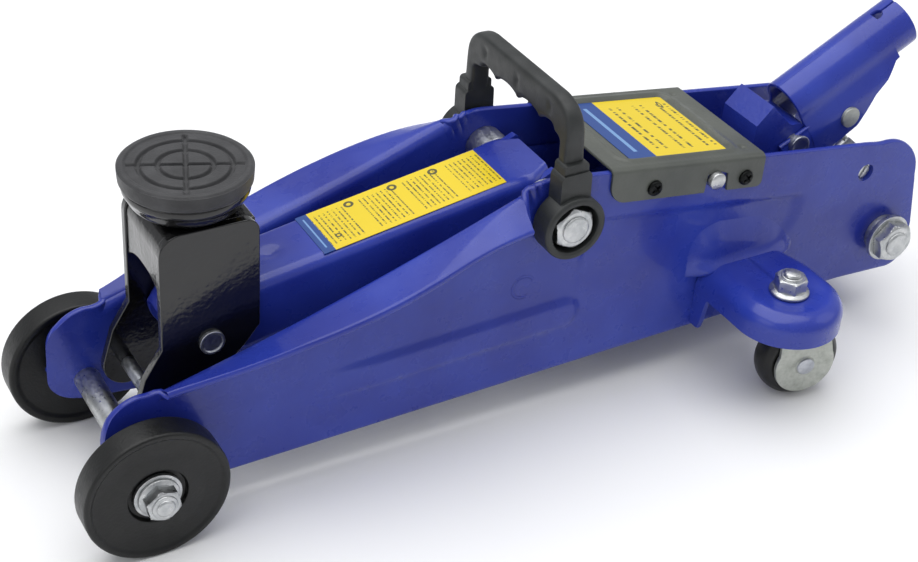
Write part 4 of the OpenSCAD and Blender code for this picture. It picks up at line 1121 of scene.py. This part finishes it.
def caster_bracket(side, name):
    """A stamped bracket. The path runs round the shelf's edge from the plate, out to the half-round end and
    back; across it the section goes from the shelf's middle over a rolled edge and down the lip. The lip is
    deep beside the plate and shallow at the end. Above it the metal swells softly out of the plate."""
    straight = STUD[1] - PLATE_Y
    s = np.linspace(0, 1, 150)[:, None] * (2 * straight + math.pi * SHELF_R)
    a = np.clip((s - straight) / SHELF_R, 0, math.pi)
    before, after = np.clip(straight - s, 0, None), np.clip(s - straight - math.pi * SHELF_R, 0, None)
    near = before + after
    roll = 6.5 + 5.0 * ease((near - 12) / 20)
    low = 41.5 - 17.5 * ease((near - straight + 10) / 4.5) * (s < straight)
    inset = np.linspace(0, 1, 8)[None, :-1]
    bend = np.radians(np.linspace(90, 0, 10))[None]
    fall = np.linspace(0, 1, 10)[None, 1:]
    edge, rim = SHELF_R - roll, SHELF_TOP - roll
    dist = np.concatenate([edge * inset, edge + roll * np.cos(bend), SHELF_R + 0 * s + 0 * fall], 1)
    z = np.concatenate([SHELF_TOP + 0 * s + 0 * inset, rim + roll * np.sin(bend), rim - (rim - low) * fall], 1)
    bead = 0.8 * np.exp(-(((dist - (edge - 1.0)) / 3.0) ** 2)) * ease((22 - near) / 16)
    z = z + np.where(z > SHELF_TOP - 0.6, bead, 0)
    x = STUD[0] - np.cos(a) * dist
    y = STUD[1] - near + np.sin(a) * dist * (a > 0) * (a < math.pi)
    shelf = sheet(np.stack([x, y, z], -1), -2.5, 0.4)
    x = np.linspace(245, 324, 60)[:, None]
    v = np.linspace(0, 1, 30)[None]
    top = np.interp(x, [245, 256, 275, 299, 311, 324], [68, 77, 81, 77.5, 67.5, 53])
    z = 50 + (top - 50) * v
    lift = 3.4 * ease((1 - v) * 1.3) * ease((x - 255) / 16) * ease((322 - x) / 18) - 0.5
    lift = lift + plate_press(x, z, plate_top(x))
    foot = 3.4 * np.exp(-(((z - 53) / 3.0) ** 2)) * ease((x - 260) / 9) * ease((319 - x) / 8)
    swelling = sheet(np.stack([x + 0 * v, PLATE_Y + lift + foot, z], -1), 2.0, 0.4)
    parts = on_side(side, [shelf, swelling])
    return piece(name + "_stamped", parts, "frame", BLUE, [name], sharp=50)


def yawed(part):
    """Turns a part that is built round the stud on the floor to where the caster stands."""
    points, faces = part
    c, s = math.cos(CASTER_YAW), math.sin(CASTER_YAW)
    turn = np.array([[c, s, 0], [-s, c, 0], [0, 0, 1]])
    return points @ turn + [STUD[0], STUD[1], 0], faces


def caster(side, name):
    """The fork, stud and nut of one caster, its axle, and its wheel with a crowned tread."""
    def stood(*parts):
        return on_side(side, [yawed(p) for p in parts])

    body, hub, cheek_y = "caster_%s_body" % name, (TRAIL, 0, CASTER_R), 9.6
    cheek = np.concatenate([arc((TRAIL, CASTER_R), 14.5, -205, 25, 40), [[TRAIL + 7, 48.5]], [[-4.6, 48.5]]])
    outline = np.concatenate([arc((0, 0), 11, 60, 300, 24), [[TRAIL + 7, -cheek_y], [TRAIL + 7, cheek_y]]])
    plate = np.stack([np.column_stack([outline, np.full(len(outline), h)]) for h in (48.7, 50.7)])
    boss = lathe([(0, 8), (5.2, 9.0), (4.4, 10.2), (0, 10.6)], 0.9, hub, n=40)
    fork = both(slab(cheek, 7.6, cheek_y)) + [grid(plate, closed=True, caps=True)] + both(boss)
    piece("caster_fork_%s_pressed" % name, stood(*fork), body, PRESSED_ZINC, ["caster_fork_" + name],
          bevel=0.6)
    flange = lathe([(0, 0), (9, 0), (9, 1.1), (7.2, 2.2), (0, 2.2)], 0.4, (0, 0, 55.35), UP, 64)
    nut = hexagon((0, 0, 56.2), UP, 13, 7.2, 0.35)
    collar = lathe([(0, 63.0), (5.0, 63.0), (4.7, 64.0), (0, 64.0)], 0.5, axis=UP, n=48)
    stud = threaded((0, 0, 0), UP, 3.9, 50, 65.6)
    race = lathe([(0, 50.7), (9, 50.7), (9, 52.1), (0, 52.1)], 0.4, axis=UP, n=48)
    piece("caster_stud_%s_nut" % name, stood(flange, nut, collar, stud, race), body, ZINC,
          ["caster_stud_" + name, "caster_nut_" + name], sharp=28)
    axle = lathe([(0, -1), (3, -1), (3, 9.2), (4.3, 9.2), (4.3, 10.8), (0, 11.2)], 0.5, hub, n=40)
    piece("caster_axle_%s_rivet" % name, stood(*both(axle)), body, ZINC_DULL, ["caster_axle_" + name])
    wheel = lathe([
        (3.1, -7), (7, -7), (7.6, -6.2), (12.4, -6.2), (13.2, -7), (16.4, -6.9), (18.6, -4.6), (19.5, -1.6),
        (19.5, 1.6), (18.6, 4.6), (16.4, 6.9), (13.2, 7), (12.4, 6.2), (7.6, 6.2), (7, 7), (3.1, 7), (3.1, -7)
    ], 1.2, hub, n=96)
    piece("caster_wheel_%s_moulded" % name, stood(wheel), "caster_wheel_%s_body" % name, TREAD,
          ["caster_wheel_" + name], sharp=60)


for side, name in ((-1, "left"), (1, "right")):
    caster_bracket(side, "caster_bracket_" + name)
    caster(side, name)

# Carry handle ----------------------------------------------

HANDLE_LEAN = math.radians(1.5)
GRIP_Z = 47.6


def handle_bar():
    """A bar carried along a path up one leg, round the corner and across, then mirrored. The section is a
    rounded rectangle; its underside is hollowed for four fingers, and three round marks dent its front."""
    corner = 11.5
    leg_y, top_y = 39.5, 38.2
    t = np.linspace(0, math.pi / 2, 16)
    rise = np.linspace(9, GRIP_Z - corner, 17)[:-1]
    up = np.stack([leg_y + (top_y - leg_y) * ease((rise - 14) / 22), rise], -1)
    turn = np.stack([top_y - corner + corner * np.cos(t), GRIP_Z - corner + corner * np.sin(t)], -1)
    over = np.stack([np.linspace(top_y - corner, 0, 34)[1:], np.full(33, GRIP_Z)], -1)
    half = np.concatenate([up, turn, over])
    path = np.concatenate([half, (half * [-1, 1])[-2::-1]])
    along = unit(np.gradient(path, axis=0))
    out = np.stack([along[:, 1], -along[:, 0]], -1)
    h = path[:, 1]
    level = ease((np.abs(out[:, 1]) - 0.1) / 0.8)
    half_x = np.interp(h, [9, 22, 36, GRIP_Z], [5.0, 4.9, 4.5, 4.3])
    outward = 3.5 + 3.9 * level
    hollows = 2.7 * np.abs(np.sin(path[:, 0] / 17.8 * math.pi)) ** 0.6
    inward = 3.5 + 5.5 * level - level * hollows * (np.abs(path[:, 0]) < 35.6)
    a = np.arange(32) / 32 * TAU
    sx, sn = [np.sign(wave) * np.abs(wave) ** 0.5 for wave in (np.cos(a), np.sin(a))]
    reach = np.where(sn[None] > 0, outward[:, None], inward[:, None]) * sn[None]
    y = path[:, :1] + out[:, :1] * reach
    z = path[:, 1:] + out[:, 1:] * reach
    x = half_x[:, None] * sx[None]
    dots = sum(np.exp(-((np.hypot(y - c, z - GRIP_Z + 0.5) / 1.7) ** 2)) for c in (-26, 0, 26))
    x = x + np.where(x < -0.8 * half_x[:, None], 1.2 * dots, 0)
    return grid(np.stack([x, y, z], -1), closed=True, caps=True)


def handle_ring():
    """The handle's ring: turned about the pivot, with a well for the nut."""
    return lathe([
        (6.1, 35.2), (13.7, 35.2), (14.5, 36.0), (14.5, 46.1), (13.6, 47.0), (11.9, 47.0), (11.1, 46.3),
        (11.1, 38.1), (6.1, 38.1), (6.1, 35.2)
    ], 0.6, n=96)


def tapered(half, h, r, wide, low, n):
    """A block's outline: top corners of radius r, whose centres are h up and half out, and a wide foot."""
    top = [arc((half, h), r, 0, 90, n), arc((-half, h), r, 90, 180, n)]
    return np.concatenate(top + [[[-wide, low], [wide, low]]])


def carry_handle():
    """Bar, rings, and the thick shoulders that join them, leaning forwards about the pivot."""
    shoulder = slab(tapered(4.9, 23, 2.3, 7.4, 10, 6), 35.4, 44.4)
    step = slab(tapered(4.2, 28, 1.6, 6, 12, 4), 35.7, 43.6)
    parts = [handle_bar()] + both(handle_ring(), shoulder, step)
    c, s = math.cos(HANDLE_LEAN), math.sin(HANDLE_LEAN)
    lean = np.array([[c, 0, s], [0, 1, 0], [-s, 0, c]])
    parts = [(p @ lean + [PIVOT[0], 0, PIVOT[1]], f) for p, f in parts]
    return piece("carry_handle_moulded", parts, "carry_handle_body", PLASTIC, ["carry_handle"],
                 sharp=45)


carry_handle()
piece("block_side_screws", both(block_screw()), "frame", ZINC, sharp=40)

# Floor and light -------------------------------------------


def stage():
    """A pale floor under a bright even sky, a large soft light overhead and two smaller ones."""
    mesh = bpy.data.meshes.new("floor")
    mesh.from_pydata([(-6, -6, 0), (6, -6, 0), (6, 6, 0), (-6, 6, 0)], [], [(0, 1, 2, 3)])
    floor = bpy.data.objects.new("floor", mesh)
    bpy.context.scene.collection.objects.link(floor)
    mesh.materials.append(new_material("pale_floor", {"Base Color": linear("#f4f4f4"), "Roughness": 0.9})[0])
    world = bpy.data.worlds.new("sky")
    world.use_nodes = True
    sky = world.node_tree.nodes["Background"]
    sky.inputs[0].default_value, sky.inputs[1].default_value = linear("#eef0f4"), 0.58
    bpy.context.scene.world = world
    lights = [
        ("overhead", (-0.15, 0.25, 1.7), (0, 0, 0.05), 2.2, 33),
        ("front_left", (-1.5, -0.4, 0.9), (0, 0, 0.05), 0.9, 3),
        ("rear_right", (1.3, -0.6, 1.0), (0.1, 0, 0.05), 0.9, 2.5),
    ]
    for name, at, to, size, watts in lights:
        data = bpy.data.lights.new(name, "AREA")
        data.size, data.energy = size, watts
        lamp = bpy.data.objects.new(name, data)
        side, up, back = axis_frame(np.array(at) - np.array(to))
        matrix = np.eye(4)
        matrix[:3, :3], matrix[:3, 3] = np.stack([side, up, back], 1), at
        lamp.matrix_world = Matrix(matrix.tolist())
        bpy.context.scene.collection.objects.link(lamp)
    bpy.context.scene.view_settings.view_transform = "Standard"


stage()
